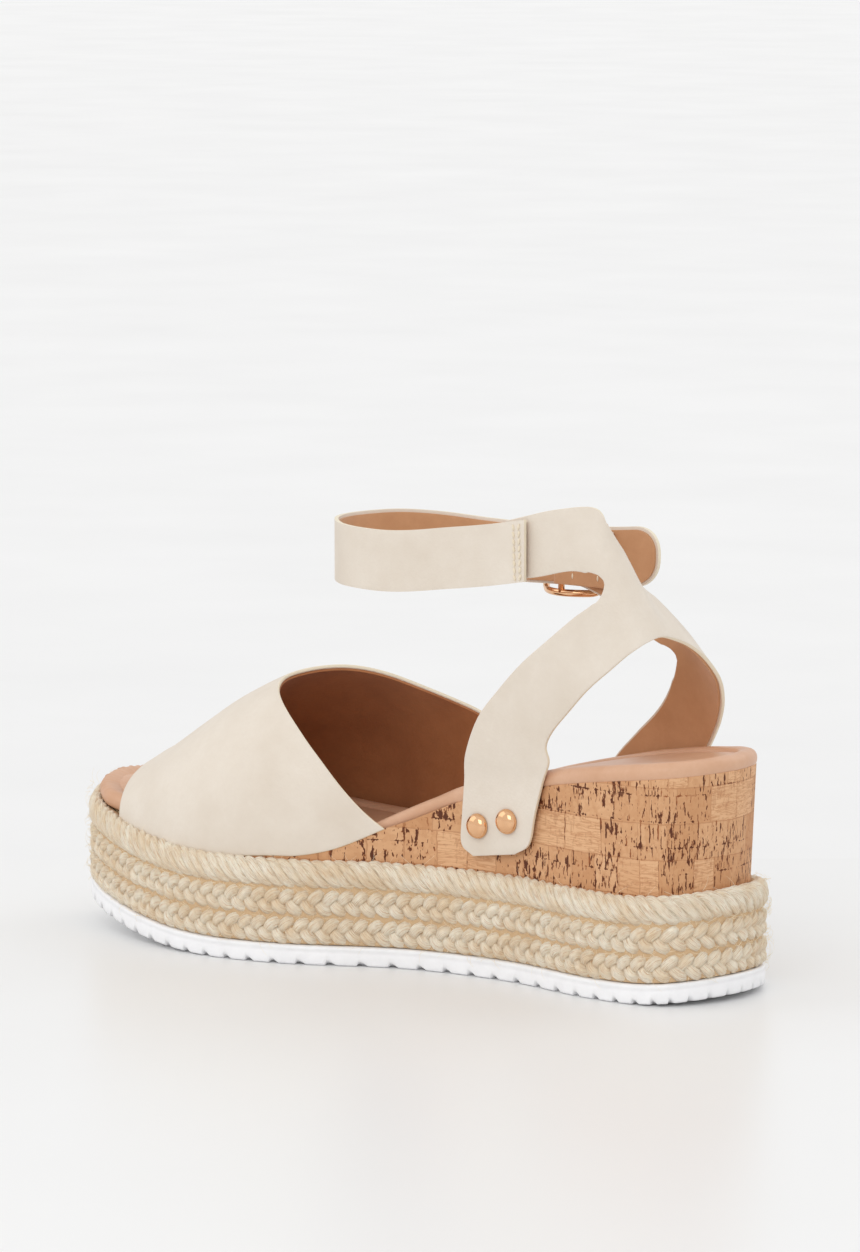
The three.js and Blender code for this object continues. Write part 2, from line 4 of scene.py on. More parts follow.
import bmesh
import bpy
from mathutils import Matrix, Vector, noise


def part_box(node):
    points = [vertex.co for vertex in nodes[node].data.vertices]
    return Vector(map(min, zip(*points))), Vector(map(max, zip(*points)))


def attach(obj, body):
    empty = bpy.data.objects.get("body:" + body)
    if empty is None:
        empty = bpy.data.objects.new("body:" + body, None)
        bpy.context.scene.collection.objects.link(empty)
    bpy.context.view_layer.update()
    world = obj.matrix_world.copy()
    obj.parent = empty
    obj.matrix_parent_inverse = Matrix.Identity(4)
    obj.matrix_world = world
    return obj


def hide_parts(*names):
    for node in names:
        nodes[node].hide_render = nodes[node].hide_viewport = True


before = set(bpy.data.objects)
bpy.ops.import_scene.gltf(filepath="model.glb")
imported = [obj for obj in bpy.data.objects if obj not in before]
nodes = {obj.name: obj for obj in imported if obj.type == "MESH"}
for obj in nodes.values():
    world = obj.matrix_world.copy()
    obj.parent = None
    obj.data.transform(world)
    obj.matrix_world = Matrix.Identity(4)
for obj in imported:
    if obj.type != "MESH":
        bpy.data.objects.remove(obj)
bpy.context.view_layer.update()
mm = 0.001
random.seed(7)

# toe at -x, heel at +x, inner side of the foot at -y; sizes below are in millimetres
braidLow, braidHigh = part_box("jute_braid_lower")
sole = {
    "length": (braidHigh.x - braidLow.x) / mm,
    "width": (braidHigh.y - braidLow.y) / mm,
    "toeSpring": 10.8,
    "heelSpring": 2.2,
    "gap": 0.3,
    "outsole": 5.8,
    "rowHeight": 8.1,
    "rowDepth": 6.0,
    "heelRise": 35.3,
    "corkInset": 4.0,
    "vampInset": 3.5,
}
lengthScale = sole["length"] / 241
widthScale = sole["width"] / 92
rowPitch = sole["rowHeight"] + sole["gap"]
platformTop = sole["outsole"] + 3 * rowPitch
bedFloor = platformTop + sole["gap"]


# camera and stage
view = {"azimuth": 40, "elevation": 7.55, "distance": 2.0, "lens": 194.4, "aim": (0.0047, 0, 0.0987)}


def makeCamera():
    data = bpy.data.cameras.new("camera")
    data.lens = view["lens"]
    data.sensor_width = 36
    data.clip_end = 50
    camera = bpy.data.objects.new("camera", data)
    bpy.context.collection.objects.link(camera)
    turn, tilt = math.radians(view["azimuth"]), math.radians(view["elevation"])
    away = Vector((math.sin(turn) * math.cos(tilt), -math.cos(turn) * math.cos(tilt), math.sin(tilt)))
    camera.location = Vector(view["aim"]) + away * view["distance"]
    camera.rotation_euler = away.to_track_quat("Z", "Y").to_euler()
    bpy.context.scene.camera = camera


makeCamera()
print("camera set")


# material helpers
def srgb(red, green, blue):
    def linear(value):
        value /= 255
        return value / 12.92 if value <= 0.04045 else ((value + 0.055) / 1.055) ** 2.4
    return (linear(red), linear(green), linear(blue), 1)


def newFinish(name, roughness, metallic=0.0, specular=0.5):
    material = bpy.data.materials.new(name)
    material.use_nodes = True
    shader = material.node_tree.nodes["Principled BSDF"]
    shader.inputs["Roughness"].default_value = roughness
    shader.inputs["Metallic"].default_value = metallic
    shader.inputs["Specular IOR Level"].default_value = specular
    return material, shader


def add(material, kind, settings=None, **values):
    node = material.node_tree.nodes.new("ShaderNode" + kind)
    for key, value in (settings or {}).items():
        setattr(node, key, value)
    for key, value in values.items():
        node.inputs[key].default_value = value
    return node


def link(material, source, target):
    material.node_tree.links.new(source, target)


def coordinates(material, kind="Object", scale=(1, 1, 1), turn=(0, 0, 0)):
    source = add(material, "TexCoord")
    mapping = add(material, "Mapping", Scale=scale, Rotation=turn)
    link(material, source.outputs[kind], mapping.inputs["Vector"])
    return mapping.outputs["Vector"]


def noiseAt(material, vector, scale, detail=3.0, roughness=0.5, distortion=0.0):
    node = add(material, "TexNoise", Scale=scale, Detail=detail, Roughness=roughness,
               Distortion=distortion)
    link(material, vector, node.inputs["Vector"])
    return node.outputs["Fac"]


def ramp(material, factor, stops):
    node = add(material, "ValToRGB")
    elements = node.color_ramp.elements
    while len(elements) < len(stops):
        elements.new(0.5)
    for element, (place, colour) in zip(elements, stops):
        element.position = place
        element.color = colour if not isinstance(colour, (int, float)) else (colour,) * 3 + (1,)
    link(material, factor, node.inputs["Fac"])
    return node.outputs["Color"]


def mix(material, factor, first, second, blend="MIX"):
    node = add(material, "Mix", {"data_type": "RGBA", "blend_type": blend})
    for socket, value in ((node.inputs[0], factor), (node.inputs[6], first), (node.inputs[7], second)):
        if isinstance(value, bpy.types.NodeSocket):
            link(material, value, socket)
        else:
            socket.default_value = value
    return node.outputs[2]


def bump(material, height, distance, strength=1.0, under=None):
    node = add(material, "Bump", Strength=strength, Distance=distance)
    link(material, height, node.inputs["Height"])
    if under is not None:
        link(material, under, node.inputs["Normal"])
    return node.outputs["Normal"]


def rough(material, shader, factor, low, high):
    node = add(material, "MapRange", **{"To Min": low, "To Max": high})
    link(material, factor, node.inputs["Value"])
    link(material, node.outputs["Result"], shader.inputs["Roughness"])


# finishes
def leather(name, base, shade, grain, grainDepth, roughLow, roughHigh, sheen=0.0):
    material, shader = newFinish(name, roughHigh, specular=0.35)
    place = coordinates(material)
    clouds = noiseAt(material, place, 45, 4, 0.6)
    speck = noiseAt(material, place, 700, 3, 0.6)
    tone = mix(material, ramp(material, clouds, [(0.35, 0), (0.68, 1)]), base, shade)
    toned = mix(material, ramp(material, speck, [(0.3, 0.0), (0.8, 0.35)]), tone, shade)
    link(material, toned, shader.inputs["Base Color"])
    cells = add(material, "TexVoronoi", {"feature": "SMOOTH_F1"}, Scale=grain)
    link(material, place, cells.inputs["Vector"])
    creases = bump(material, noiseAt(material, place, 160, 4, 0.6), 0.0003, 0.12)
    link(material, bump(material, cells.outputs["Distance"], grainDepth, 0.35, creases),
         shader.inputs["Normal"])
    rough(material, shader, clouds, roughLow, roughHigh)
    shader.inputs["Sheen Weight"].default_value = sheen
    return material


def bricks(material, vector, width, height, shift, mortar=0.0):
    node = add(material, "TexBrick", {"offset": shift, "offset_frequency": 2, "squash": 0.62,
                                      "squash_frequency": 3},
               Scale=1000.0, Color1=(0, 0, 0, 1), Color2=(1, 1, 1, 1), Mortar=(0.5, 0.5, 0.5, 1))
    node.inputs["Brick Width"].default_value = width
    node.inputs["Row Height"].default_value = height
    node.inputs["Mortar Smooth"].default_value = 0.3
    if isinstance(mortar, bpy.types.NodeSocket):
        link(material, mortar, node.inputs["Mortar Size"])
    else:
        node.inputs["Mortar Size"].default_value = mortar
    link(material, vector, node.inputs["Vector"])
    return node


def corkFinish():
    look = {"light": srgb(224, 178, 136), "tan": srgb(198, 144, 100), "dark": srgb(176, 114, 70),
            "crack": srgb(150, 88, 50), "core": srgb(92, 48, 28),
            "patch": (14.0, 10.5), "slice": (3.1, 7.6)}
    material, shader = newFinish("corkPatchwork", 0.7, specular=0.3)
    place = coordinates(material, "UV")
    wobble = add(material, "TexNoise", Scale=420.0, Detail=2.0)
    link(material, place, wobble.inputs["Vector"])
    shifted = add(material, "VectorMath", {"operation": "MULTIPLY_ADD"})
    link(material, wobble.outputs["Color"], shifted.inputs[0])
    shifted.inputs[1].default_value = (0.0008, 0.0006, 0)
    link(material, place, shifted.inputs[2])
    ragged = shifted.outputs[0]
    patch = bricks(material, ragged, *look["patch"], 0.37, 0.2)
    tone = mix(material, patch.outputs["Color"], look["light"], look["tan"])
    # granules pressed into the sheet
    cells = add(material, "TexVoronoi", Scale=900.0)
    link(material, place, cells.inputs["Vector"])
    granule = ramp(material, cells.outputs["Color"], [(0.2, 0), (0.95, 0.3)])
    tone = mix(material, granule, tone, look["dark"])
    # thin slices side by side, each a little lighter or darker
    width = add(material, "MapRange", **{"From Min": 0.5, "From Max": 0.72, "To Min": 0.0, "To Max": 0.75})
    link(material, noiseAt(material, coordinates(material, "UV", (2.4, 1, 1)), 190, 3, 0.7),
         width.inputs["Value"])
    slices = bricks(material, ragged, *look["slice"], 0.43, width.outputs["Result"])
    tone = mix(material, mix(material, 0.28, (0, 0, 0, 1), slices.outputs["Color"]), tone, look["tan"])
    # long grain in some of the patches
    grain = noiseAt(material, coordinates(material, "UV", (1, 9, 1)), 110, 4, 0.6, 0.8)
    lines = ramp(material, grain, [(0.44, 0), (0.5, 0.6), (0.56, 0)])
    grainy = ramp(material, patch.outputs["Color"], [(0.79, 0), (0.81, 1)])
    grained = mix(material, lines, look["light"], look["dark"])
    tone = mix(material, grainy, tone, grained)
    # cracks between the slices, and short upright flecks, gathered in places
    region = noiseAt(material, place, 105, 2)
    gathered = ramp(material, region, [(0.32, 0.25), (0.43, 1)])
    cracks = mix(material, 1.0, slices.outputs["Fac"], gathered, "MULTIPLY")
    fleck = noiseAt(material, coordinates(material, "UV", (3.4, 1, 1)), 250, 3, 0.65, 0.2)
    crowd = mix(material, 0.3, fleck, region)
    spots = ramp(material, crowd, [(0.56, 0), (0.59, 1)])
    clear = ramp(material, patch.outputs["Color"], [(0.72, 1), (0.8, 0.16)])
    marks = mix(material, 1.0, mix(material, 1.0, cracks, spots, "LIGHTEN"), clear, "MULTIPLY")
    tone = mix(material, ramp(material, marks, [(0.05, 0), (0.5, 1)]), tone, look["crack"])
    tone = mix(material, ramp(material, marks, [(0.6, 0), (0.95, 1)]), tone, look["core"])
    seams = mix(material, 0.28, (0, 0, 0, 1), patch.outputs["Fac"])
    tone = mix(material, seams, tone, look["crack"])
    link(material, tone, shader.inputs["Base Color"])
    pits = bump(material, marks, 0.0006, -0.5)
    grit = bump(material, noiseAt(material, place, 1500, 3, 0.6), 0.0002, 0.35, pits)
    link(material, grit, shader.inputs["Normal"])
    rough(material, shader, granule, 0.62, 0.82)
    return material


def juteFinish(name, light, dark, alongScale):
    material, shader = newFinish(name, 0.85, specular=0.2)
    fibres = coordinates(material, "UV", alongScale)
    place = coordinates(material)
    streaks = noiseAt(material, fibres, 1, 5, 0.7, 0.15)
    lots = noiseAt(material, place, 130, 3, 0.6)
    tone = mix(material, ramp(material, lots, [(0.36, 0), (0.66, 1)]), light, dark)
    tone = mix(material, ramp(material, streaks, [(0.36, 0.9), (0.5, 0)]), tone, srgb(206, 166, 124))
    tone = mix(material, ramp(material, streaks, [(0.56, 0), (0.72, 0.85)]), tone, srgb(255, 250, 234))
    link(material, tone, shader.inputs["Base Color"])
    hair = bump(material, streaks, 0.0006, 0.8)
    link(material, bump(material, noiseAt(material, place, 1800, 2), 0.0003, 0.3, hair),
         shader.inputs["Normal"])
    shader.inputs["Sheen Weight"].default_value = 0.25
    shader.inputs["Sheen Roughness"].default_value = 0.5
    return material


def rubberFinish():
    material, shader = newFinish("outsoleRubber", 0.32, specular=0.5)
    place = coordinates(material)
    scuff = noiseAt(material, place, 220, 4, 0.6)
    link(material, mix(material, ramp(material, scuff, [(0.4, 0), (0.8, 0.5)]),
                       srgb(246, 246, 248), srgb(232, 232, 234)), shader.inputs["Base Color"])
    link(material, bump(material, noiseAt(material, place, 900, 3), 0.0001, 0.25),
         shader.inputs["Normal"])
    rough(material, shader, scuff, 0.24, 0.42)
    return material


def metalFinish():
    material, shader = newFinish("roseGold", 0.12, metallic=1.0)
    place = coordinates(material)
    swirl = noiseAt(material, place, 500, 3)
    link(material, mix(material, swirl, srgb(238, 192, 150), srgb(230, 178, 134)),
         shader.inputs["Base Color"])
    rough(material, shader, noiseAt(material, place, 1500, 3), 0.07, 0.16)
    link(material, bump(material, swirl, 0.0001, 0.03), shader.inputs["Normal"])
    return material


def plainFinish(name, first, second, scale, roughness, depth):
    material, shader = newFinish(name, roughness, specular=0.25)
    place = coordinates(material)
    grain = noiseAt(material, place, scale, 4, 0.6)
    link(material, mix(material, grain, first, second), shader.inputs["Base Color"])
    link(material, bump(material, grain, depth, 0.4), shader.inputs["Normal"])
    return material


finishes = {
    "cream": leather("creamLeather", srgb(229, 219, 206), srgb(220, 208, 193), 1500, 0.00014, 0.46, 0.62),
    "edge": plainFinish("edgePaint", srgb(238, 229, 208), srgb(228, 216, 192), 900, 0.5, 0.0001),
    "tan": leather("tanLining", srgb(205, 156, 116), srgb(188, 138, 98), 1100, 0.00015, 0.6, 0.8, 0.15),
    "brown": leather("brownLining", srgb(180, 120, 76), srgb(160, 102, 62), 1100, 0.00015, 0.6, 0.8, 0.1),
    "footbed": leather("footbedLeather", srgb(217, 174, 144), srgb(205, 158, 125), 1300, 0.00012,
                       0.3, 0.46),
    "cork": corkFinish(),
    "jute": juteFinish("juteStrand", srgb(250, 240, 220), srgb(238, 216, 184), (260, 46, 1)),
    "fuzz": plainFinish("juteFuzz", srgb(252, 244, 222), srgb(236, 216, 182), 400, 0.7, 0.0001),
    # darker jute tone for the sheet behind the braids: painted shade between the strands
    "gapShade": plainFinish("juteGapShade", srgb(222, 196, 160), srgb(200, 164, 124), 900, 0.9, 0.0004),
    "rubber": rubberFinish(),
    "metal": metalFinish(),
    "thread": plainFinish("seamThread", srgb(240, 230, 210), srgb(226, 210, 184), 2500, 0.7, 0.0002),
    "foam": plainFinish("coreFoam", srgb(214, 190, 150), srgb(196, 168, 126), 800, 0.9, 0.0003),
    "board": plainFinish("fibreBoard", srgb(190, 160, 120), srgb(160, 128, 90), 1200, 0.85, 0.0002),
}
print("finishes made")


# shared curves
planPoints = [
    (-120.5, -2), (-110.5, -25), (-84.5, -39), (-51.5, -46), (-19.5, -41), (14.5, -24.5),
    (49.5, -20.5), (84.5, -26), (111, -22), (120.5, 2), (111, 26), (84, 35), (49.5, 34.5),
    (15.5, 37), (-19.5, 42), (-52.5, 46), (-84.5, 41), (-110.5, 23),
]
planPoints = [Vector((x * lengthScale, y * widthScale, 0)) for x, y in planPoints]


def spline(points, station, closed=False):
    count = len(points)
    if closed:
        k = math.floor(station)
        part = station - k
        a, b, c, d = (points[(k + i) % count] for i in (-1, 0, 1, 2))
    else:
        k = min(max(math.floor(station), 0), count - 2)
        part = station - k
        b, c = points[k], points[k + 1]
        a = points[k - 1] if k > 0 else b * 2 - c
        d = points[k + 2] if k + 2 < count else c * 2 - b
    return 0.5 * (b * 2 + (c - a) * part + (a * 2 - b * 5 + c * 4 - d) * part ** 2
                  + (b * 3 - a - c * 3 + d) * part ** 3)


def planFrame(along):
    # the sole's outline at a share of the way round: place, way out, way on
    count = len(planPoints)
    point = spline(planPoints, along * count, True)
    ahead = spline(planPoints, along * count + 0.01, True)
    behind = spline(planPoints, along * count - 0.01, True)
    way = (ahead - behind).normalized()
    return point, Vector((way.y, -way.x, 0)), way


def planPoint(along, inset):
    point, outward, _ = planFrame(along)
    return point - outward * inset


def planEdge(x, inset, outerSide):
    low, high = 0.0, 0.5
    for _ in range(22):
        middle = (low + high) / 2
        if planPoint(1 - middle if outerSide else middle, inset).x < x:
            low = middle
        else:
            high = middle
    return planPoint(1 - low if outerSide else low, inset).y


def toeLift(x):
    return sole["toeSpring"] * max(0, (-37.5 - x / lengthScale) / 80) ** 2


def ground(x):
    return toeLift(x) + sole["heelSpring"] * max(0, (x / lengthScale - 92.5) / 28) ** 2


def smoothStep(value, low, high):
    share = min(max((value - low) / (high - low), 0), 1)
    return share * share * (3 - 2 * share)


def graph(table, x):
    # a smooth curve through the table's stops, level at both ends
    last = len(table) - 1
    if x <= table[0][0]:
        return table[0][1]
    if x >= table[last][0]:
        return table[last][1]
    k = next(i for i, stop in enumerate(table) if stop[0] > x) - 1

    def slope(i):
        if i <= 0 or i >= last:
            return 0
        return (table[i + 1][1] - table[i - 1][1]) / (table[i + 1][0] - table[i - 1][0])

    width = table[k + 1][0] - table[k][0]
    s = (x - table[k][0]) / width
    rise = table[k + 1][1] - table[k][1]
    return (table[k][1] + rise * s * s * (3 - 2 * s)
            + width * (slope(k) * s * (1 - s) ** 2 - slope(k + 1) * s * s * (1 - s)))


heelRamp = [
    (-22, 0), (-15.8, 0.01), (-7.8, 0.062), (-1.8, 0.133), (7.1, 0.261), (18, 0.405),
    (31.2, 0.558), (63.4, 0.779), (81, 0.87), (98.3, 0.935), (111, 0.975), (124, 1),
]


def bed(x):
    return bedFloor + sole["heelRise"] * graph(heelRamp, x / lengthScale) + toeLift(x)


def bedInset(x):
    # how far inside the outline the footbed stands; more beside the vamp
    place = x / lengthScale
    beside = smoothStep(place, -104, -95) * (1 - smoothStep(place, 21, 33))
    return sole["corkInset"] + 0.2 + beside * (sole["vampInset"] + 2.7 - sole["corkInset"])


# mesh helpers
def place(point):
    return Vector(point) * mm


def gridInto(bm, columns, rows, surface, flip=False, uvSize=(1, 1)):
    # a grid with each corner moved to where surface puts its u and v
    made = bmesh.ops.create_grid(bm, x_segments=columns, y_segments=rows, size=0.5)["verts"]
    layer = bm.loops.layers.uv.verify()
    faces = {face for vert in made for face in vert.link_faces}
    for face in faces:
        for loop in face.loops:
            loop[layer].uv = ((loop.vert.co.x + 0.5) * uvSize[0], (loop.vert.co.y + 0.5) * uvSize[1])
    for vert in made:
        vert.co = place(surface(vert.co.x + 0.5, vert.co.y + 0.5))
    if flip:
        bmesh.ops.reverse_faces(bm, faces=list(faces))
    return made


def weld(bm, distance=0.00001):
    bmesh.ops.remove_doubles(bm, verts=bm.verts[:], dist=distance)
    bmesh.ops.dissolve_degenerate(bm, edges=bm.edges[:], dist=distance / 10)


def finishMesh(name, bm, finish, body="root", replaced=(), extra=(), recalc=False):
    if recalc:
        bmesh.ops.recalc_face_normals(bm, faces=bm.faces[:])
    mesh = bpy.data.meshes.new(name)
    bm.to_mesh(mesh)
    bm.free()
    piece = bpy.data.objects.new(name, mesh)
    bpy.context.collection.objects.link(piece)
    for kind in (finish, *extra):
        mesh.materials.append(finishes[kind])
    for face in mesh.polygons:
        face.use_smooth = True
    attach(piece, body)
    if replaced:
        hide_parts(*replaced)
    return piece


def roundEdge(piece, width):
    edge = piece.modifiers.new("edge", "BEVEL")
    edge.width = width * mm
    edge.segments = 3
    edge.limit_method = "ANGLE"
    edge.angle_limit = math.radians(50)


def thicken(piece, thickness, side, bevel=0.0, edgeSlot=0):
    solid = piece.modifiers.new("thickness", "SOLIDIFY")
    solid.thickness = thickness * mm
    solid.offset = side
    solid.material_offset_rim = edgeSlot
    if bevel:
        roundEdge(piece, bevel)


def applyAll(piece):
    depsgraph = bpy.context.evaluated_depsgraph_get()
    fresh = bpy.data.meshes.new_from_object(piece.evaluated_get(depsgraph))
    piece.modifiers.clear()
    piece.data = fresh


def tubeInto(bm, path, radius, sides, closed=False, lobes=0, twist=0.0, lobeDepth=0.0, flat=1.0,
             outward=None):
    # lobes are ridges along the tube, as a spun strand has; flat squeezes it towards outward
    count = len(path)
    frames = []
    travelled = 0.0
    for k, point in enumerate(path):
        ahead = path[(k + 1) % count] if closed or k + 1 < count else point
        behind = path[k - 1] if closed or k > 0 else point
        way = (ahead - behind).normalized()
        side = outward[k] if outward else Vector((0, 0, 1))
        side = (side - way * side.dot(way)).normalized()
        frames.append((point, side, way.cross(side), travelled))
        travelled += (path[(k + 1) % count] - point).length
    size = radius if callable(radius) else (lambda share: radius)
    columns = count if closed else count - 1

    def surface(u, v):
        k = round(u * columns)
        point, side, up, distance = frames[k % count]
        angle = 2 * math.pi * v
        swell = 1 + lobeDepth * math.cos(lobes * angle + twist * distance) if lobes else 1
        reach = size(k / columns) * swell
        return point + side * math.cos(angle) * reach * flat + up * math.sin(angle) * reach

    verts = gridInto(bm, columns, sides, surface, uvSize=(travelled * mm, 1))
    if not closed:
        edges = [edge for vert in verts for edge in vert.link_edges]
        bmesh.ops.remove_doubles(bm, verts=list(set(verts)), dist=0.000002)
        alive = [edge for edge in set(edges) if edge.is_valid and edge.is_boundary]
        bmesh.ops.holes_fill(bm, edges=alive, sides=sides * 2)


def beadInto(bm, centre, direction, length, thickness):
    turn = Vector((0, 0, 1)).rotation_difference(direction).to_matrix().to_4x4()
    size = Matrix.Diagonal((thickness * mm, thickness * mm, length * mm, 1))
    bmesh.ops.create_uvsphere(bm, u_segments=8, v_segments=5, radius=0.5,
                              matrix=Matrix.Translation(place(centre)) @ turn @ size)


# outsole
tread = {"inset": 1.0, "notch": 7.6, "notchDepth": 1.15, "steps": 16, "groove": 6.5,
         "grooveDepth": 0.5}


def makeOutsole():
    bm = bmesh.new()
    perimeter = planLength(tread["inset"])
    notches = round(perimeter / tread["notch"])
    columns = notches * tread["steps"]
    height = sole["outsole"]

    def notchAt(along):
        share = (along * notches) % 1
        return smoothStep(share, 0.0, 0.07) * (1 - smoothStep(share, 0.12, 0.42))

    def wall(u, v):
        u %= 1
        cut = notchAt(u)
        low = tread["notchDepth"] * cut
        # across the wall from under the sole to its top: inset, height
        profile = [
            (9, 0.25), (2.2 + cut, 0), (0.8 + 0.5 * cut, 0.02 + low * 0.8), (0.15 + 0.25 * cut, 0.3 + low),
            (0, 0.9 + low), (0, 3.6), (0.35, 4.2), (0.1, 4.7), (0.2, height - 0.4), (0.8, height),
            (9, height),
        ]
        inset, z = profile[round(v * (len(profile) - 1))]
        point = planPoint(u, tread["inset"] + inset)
        return Vector((point.x, point.y, z + ground(point.x)))

    gridInto(bm, columns, 10, wall, uvSize=(perimeter * mm, height * mm))
    weld(bm)
    # the open middle of the sole, top and bottom
    core = tread["inset"] + 6

    def plate(level):
        def surface(u, v):
            x = math.cos(math.pi * (1 - u)) * (sole["length"] / 2 - core - 0.3)
            y = planEdge(x, core, False) * (1 - v) + planEdge(x, core, True) * v
            return Vector((x, y, level(x, y)))
        return surface

    def underside(x, y):
        groove = tread["grooveDepth"] * (1 - abs(((x + 0.25 * y) / tread["groove"]) % 1 * 2 - 1) ** 3)
        return ground(x) + 0.15 + groove

    gridInto(bm, 240, 30, plate(underside), flip=True)
    gridInto(bm, 60, 6, plate(lambda x, y: ground(x) + height - 0.2))
    finishMesh("outsoleTread", bm, "rubber", replaced=["outsole"])


def planLength(inset):
    steps = 720
    points = [planPoint(k / steps, inset) for k in range(steps)]
    return sum((points[k] - points[k - 1]).length for k in range(steps))


makeOutsole()
print("outsole made")


# jute braids
braids = {"step": 0.66, "ropeLay": 14.0, "ropeStrands": 4, "plaitLay": 13.5, "sides": 18,
          "fibres": 1500, "fibreRadius": 0.05}


def braidCourse(centreInset):
    perimeter = planLength(centreInset)
    count = round(perimeter / braids["step"])
    dense = [planFrame(k / (count * 2)) for k in range(count * 2)]
    spots = [point - outward * centreInset for point, outward, _ in dense]
    walked = [0.0]
    for k in range(1, len(spots) + 1):
        walked.append(walked[-1] + (spots[k % len(spots)] - spots[k - 1]).length)
    total = walked[-1]
    course = []
    j = 0
    for k in range(count):
        goal = total * k / count
        while walked[j + 1] < goal:
            j += 1
        share = (goal - walked[j]) / (walked[j + 1] - walked[j])
        here = spots[j].lerp(spots[(j + 1) % len(spots)], share)
        outward = dense[j][1].lerp(dense[(j + 1) % len(spots)][1], share).normalized()
        course.append((here, outward, goal))
    return course, total


def makeBraid(name, row, plait, replaced):
    bm = bmesh.new()
    middle = sole["outsole"] + sole["gap"] + row * rowPitch + sole["rowHeight"] / 2
    course, total = braidCourse(sole["rowDepth"] / 2)
    strands = 3 if plait else braids["ropeStrands"]
    lay = braids["plaitLay"] if plait else braids["ropeLay"]
    turns = round(total / lay)
    for strand in range(strands):
        path, outwards = [], []
        for here, outward, walked in course:
            phase = 2 * math.pi * (turns * walked / total + strand / strands)
            jog = noise.noise(Vector((walked * 0.11, strand * 7.3, row * 3.1)))
            jogUp = noise.noise(Vector((walked * 0.09, strand * 5.1 + 40, row * 2.7)))
            if plait:
                out = 1.2 * math.sin(2 * phase) + 0.3 * jog
                up = 2.5 * math.sin(phase) + 0.35 * jogUp
            else:
                out = 1.35 * math.sin(phase) + 0.3 * jog
                up = 2.75 * math.cos(phase) + 0.3 * jogUp
            path.append(here + outward * out + Vector((0, 0, middle + up + ground(here.x))))
            outwards.append(outward)
        size = 1.7 if plait else 1.6
        tubeInto(bm, path, size, braids["sides"], closed=True, lobes=6, twist=0.5 + 0.08 * strand,
                 lobeDepth=0.1, flat=0.78 if plait else 0.86, outward=outwards)
    weld(bm, 0.000002)
    finishMesh(name, bm, "jute", replaced=replaced, recalc=True)


makeBraid("jutePlaitLower", 0, True, ["jute_braid_lower"])
makeBraid("jutePlaitMiddle", 1, True, ["jute_braid_middle"])
makeBraid("juteRopeUpper", 2, False, ["jute_braid_upper"])


def makeGapShade():
    # a darker jute-tone sheet behind the braids: painted shade that shows in the gaps between their strands
    bm = bmesh.new()
    low = sole["outsole"] + sole["gap"]
    profile = [(2.3, low), (2.0, low + 0.6), (2.0, platformTop - 1.0), (2.6, platformTop - 0.4),
               (5.6, platformTop - 0.4), (5.6, low)]

    def wall(u, v):
        inset, z = profile[round(v * len(profile)) % len(profile)]
        point = planPoint(u % 1, inset)
        return Vector((point.x, point.y, z + ground(point.x)))

    gridInto(bm, 240, len(profile), wall)
    weld(bm)
    finishMesh("braidGapShade", bm, "gapShade", recalc=True)


makeGapShade()


def makeFuzz():
    data = bpy.data.curves.new("juteFuzz", "CURVE")
    data.dimensions = "3D"
    data.bevel_depth = braids["fibreRadius"] * mm
    data.bevel_resolution = 0
    data.resolution_u = 2
    for _ in range(braids["fibres"]):
        along = random.random()
        # most fibres stand out of the grooves between the rows
        level = sole["outsole"] + rowPitch * random.choice((0.1, 1, 1, 2, 2, 3)) + random.gauss(0, 1.1)
        level = min(max(level, sole["outsole"] + 0.6), platformTop + 0.4)
        point, outward, way = planFrame(along)
        start = point - outward * random.uniform(0.2, 1.2) + Vector((0, 0, level + ground(point.x)))
        lean = way * random.uniform(-1, 1) + Vector((0, 0, random.uniform(-0.8, 0.9)))
        reach = random.uniform(1.5, 6.5)
        curl = Vector((random.uniform(-1, 1), random.uniform(-1, 1), random.uniform(-1, 1)))
        strand = data.splines.new("POLY")
        strand.points.add(4)
        for k in range(5):
            t = k / 4
            bow = outward * (0.9 * math.sin(math.pi * t) + 0.5 * t)
            spot = start + bow + lean * reach * t + curl * t * t
            spot.z = max(spot.z, 0.4 + ground(spot.x))
            strand.points[k].co = (*place(spot), 1)
            strand.points[k].radius = 1 - 0.6 * t
    piece = bpy.data.objects.new("juteFuzz", data)
    bpy.context.collection.objects.link(piece)
    data.materials.append(finishes["fuzz"])
    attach(piece, "root")


makeFuzz()
print("jute made")


# cork wrap
# start is a share of the way round the sole from the toe
cork = {"start": 3.55 / 18, "below": 2.6, "columns": 330, "rows": 18, "thickness": 1.2,
        "underVamp": 0.9, "tuck": 1.6}


def makeCork():
    bm = bmesh.new()
    start = cork["start"]

    def surface(u, v):
        along = start + (1 - 2 * start) * u
        foot = planPoint(along, sole["corkInset"])
        low = bedFloor + ground(foot.x) - cork["below"]
        high = bed(foot.x) + cork["underVamp"] * (1 - smoothStep(foot.x, 4, 16))
        height = high - low
        # the wall draws in a little towards the platform, most at the back
        tuck = cork["tuck"] * (1 - v) * min(1, height / 35) * smoothStep(foot.x, 60, 115)
        point = planPoint(along, sole["corkInset"] + tuck)
        return Vector((point.x, point.y, low + height * v))

    gridInto(bm, cork["columns"], cork["rows"], surface)
    layer = bm.loops.layers.uv.verify()
    total = planLength(sole["corkInset"])
    for face in bm.faces:
        for loop in face.loops:
            loop[layer].uv = (loop[layer].uv.x * (1 - 2 * start) * total * mm, loop.vert.co.z)
    piece = finishMesh("corkSheet", bm, "cork", replaced=["cork_wrap"])
    thicken(piece, cork["thickness"], -1, 0.25)


makeCork()
print("cork made")


# footbed
footbed = {"rimWidth": 5.4, "rimColumns": 420, "rimRows": 22, "pleats": 34, "pleatDepth": 0.36,
           "padHeight": 2.7, "crown": 1.35, "heelCup": 0.9, "ballDip": 0.5, "cover": 1.2}


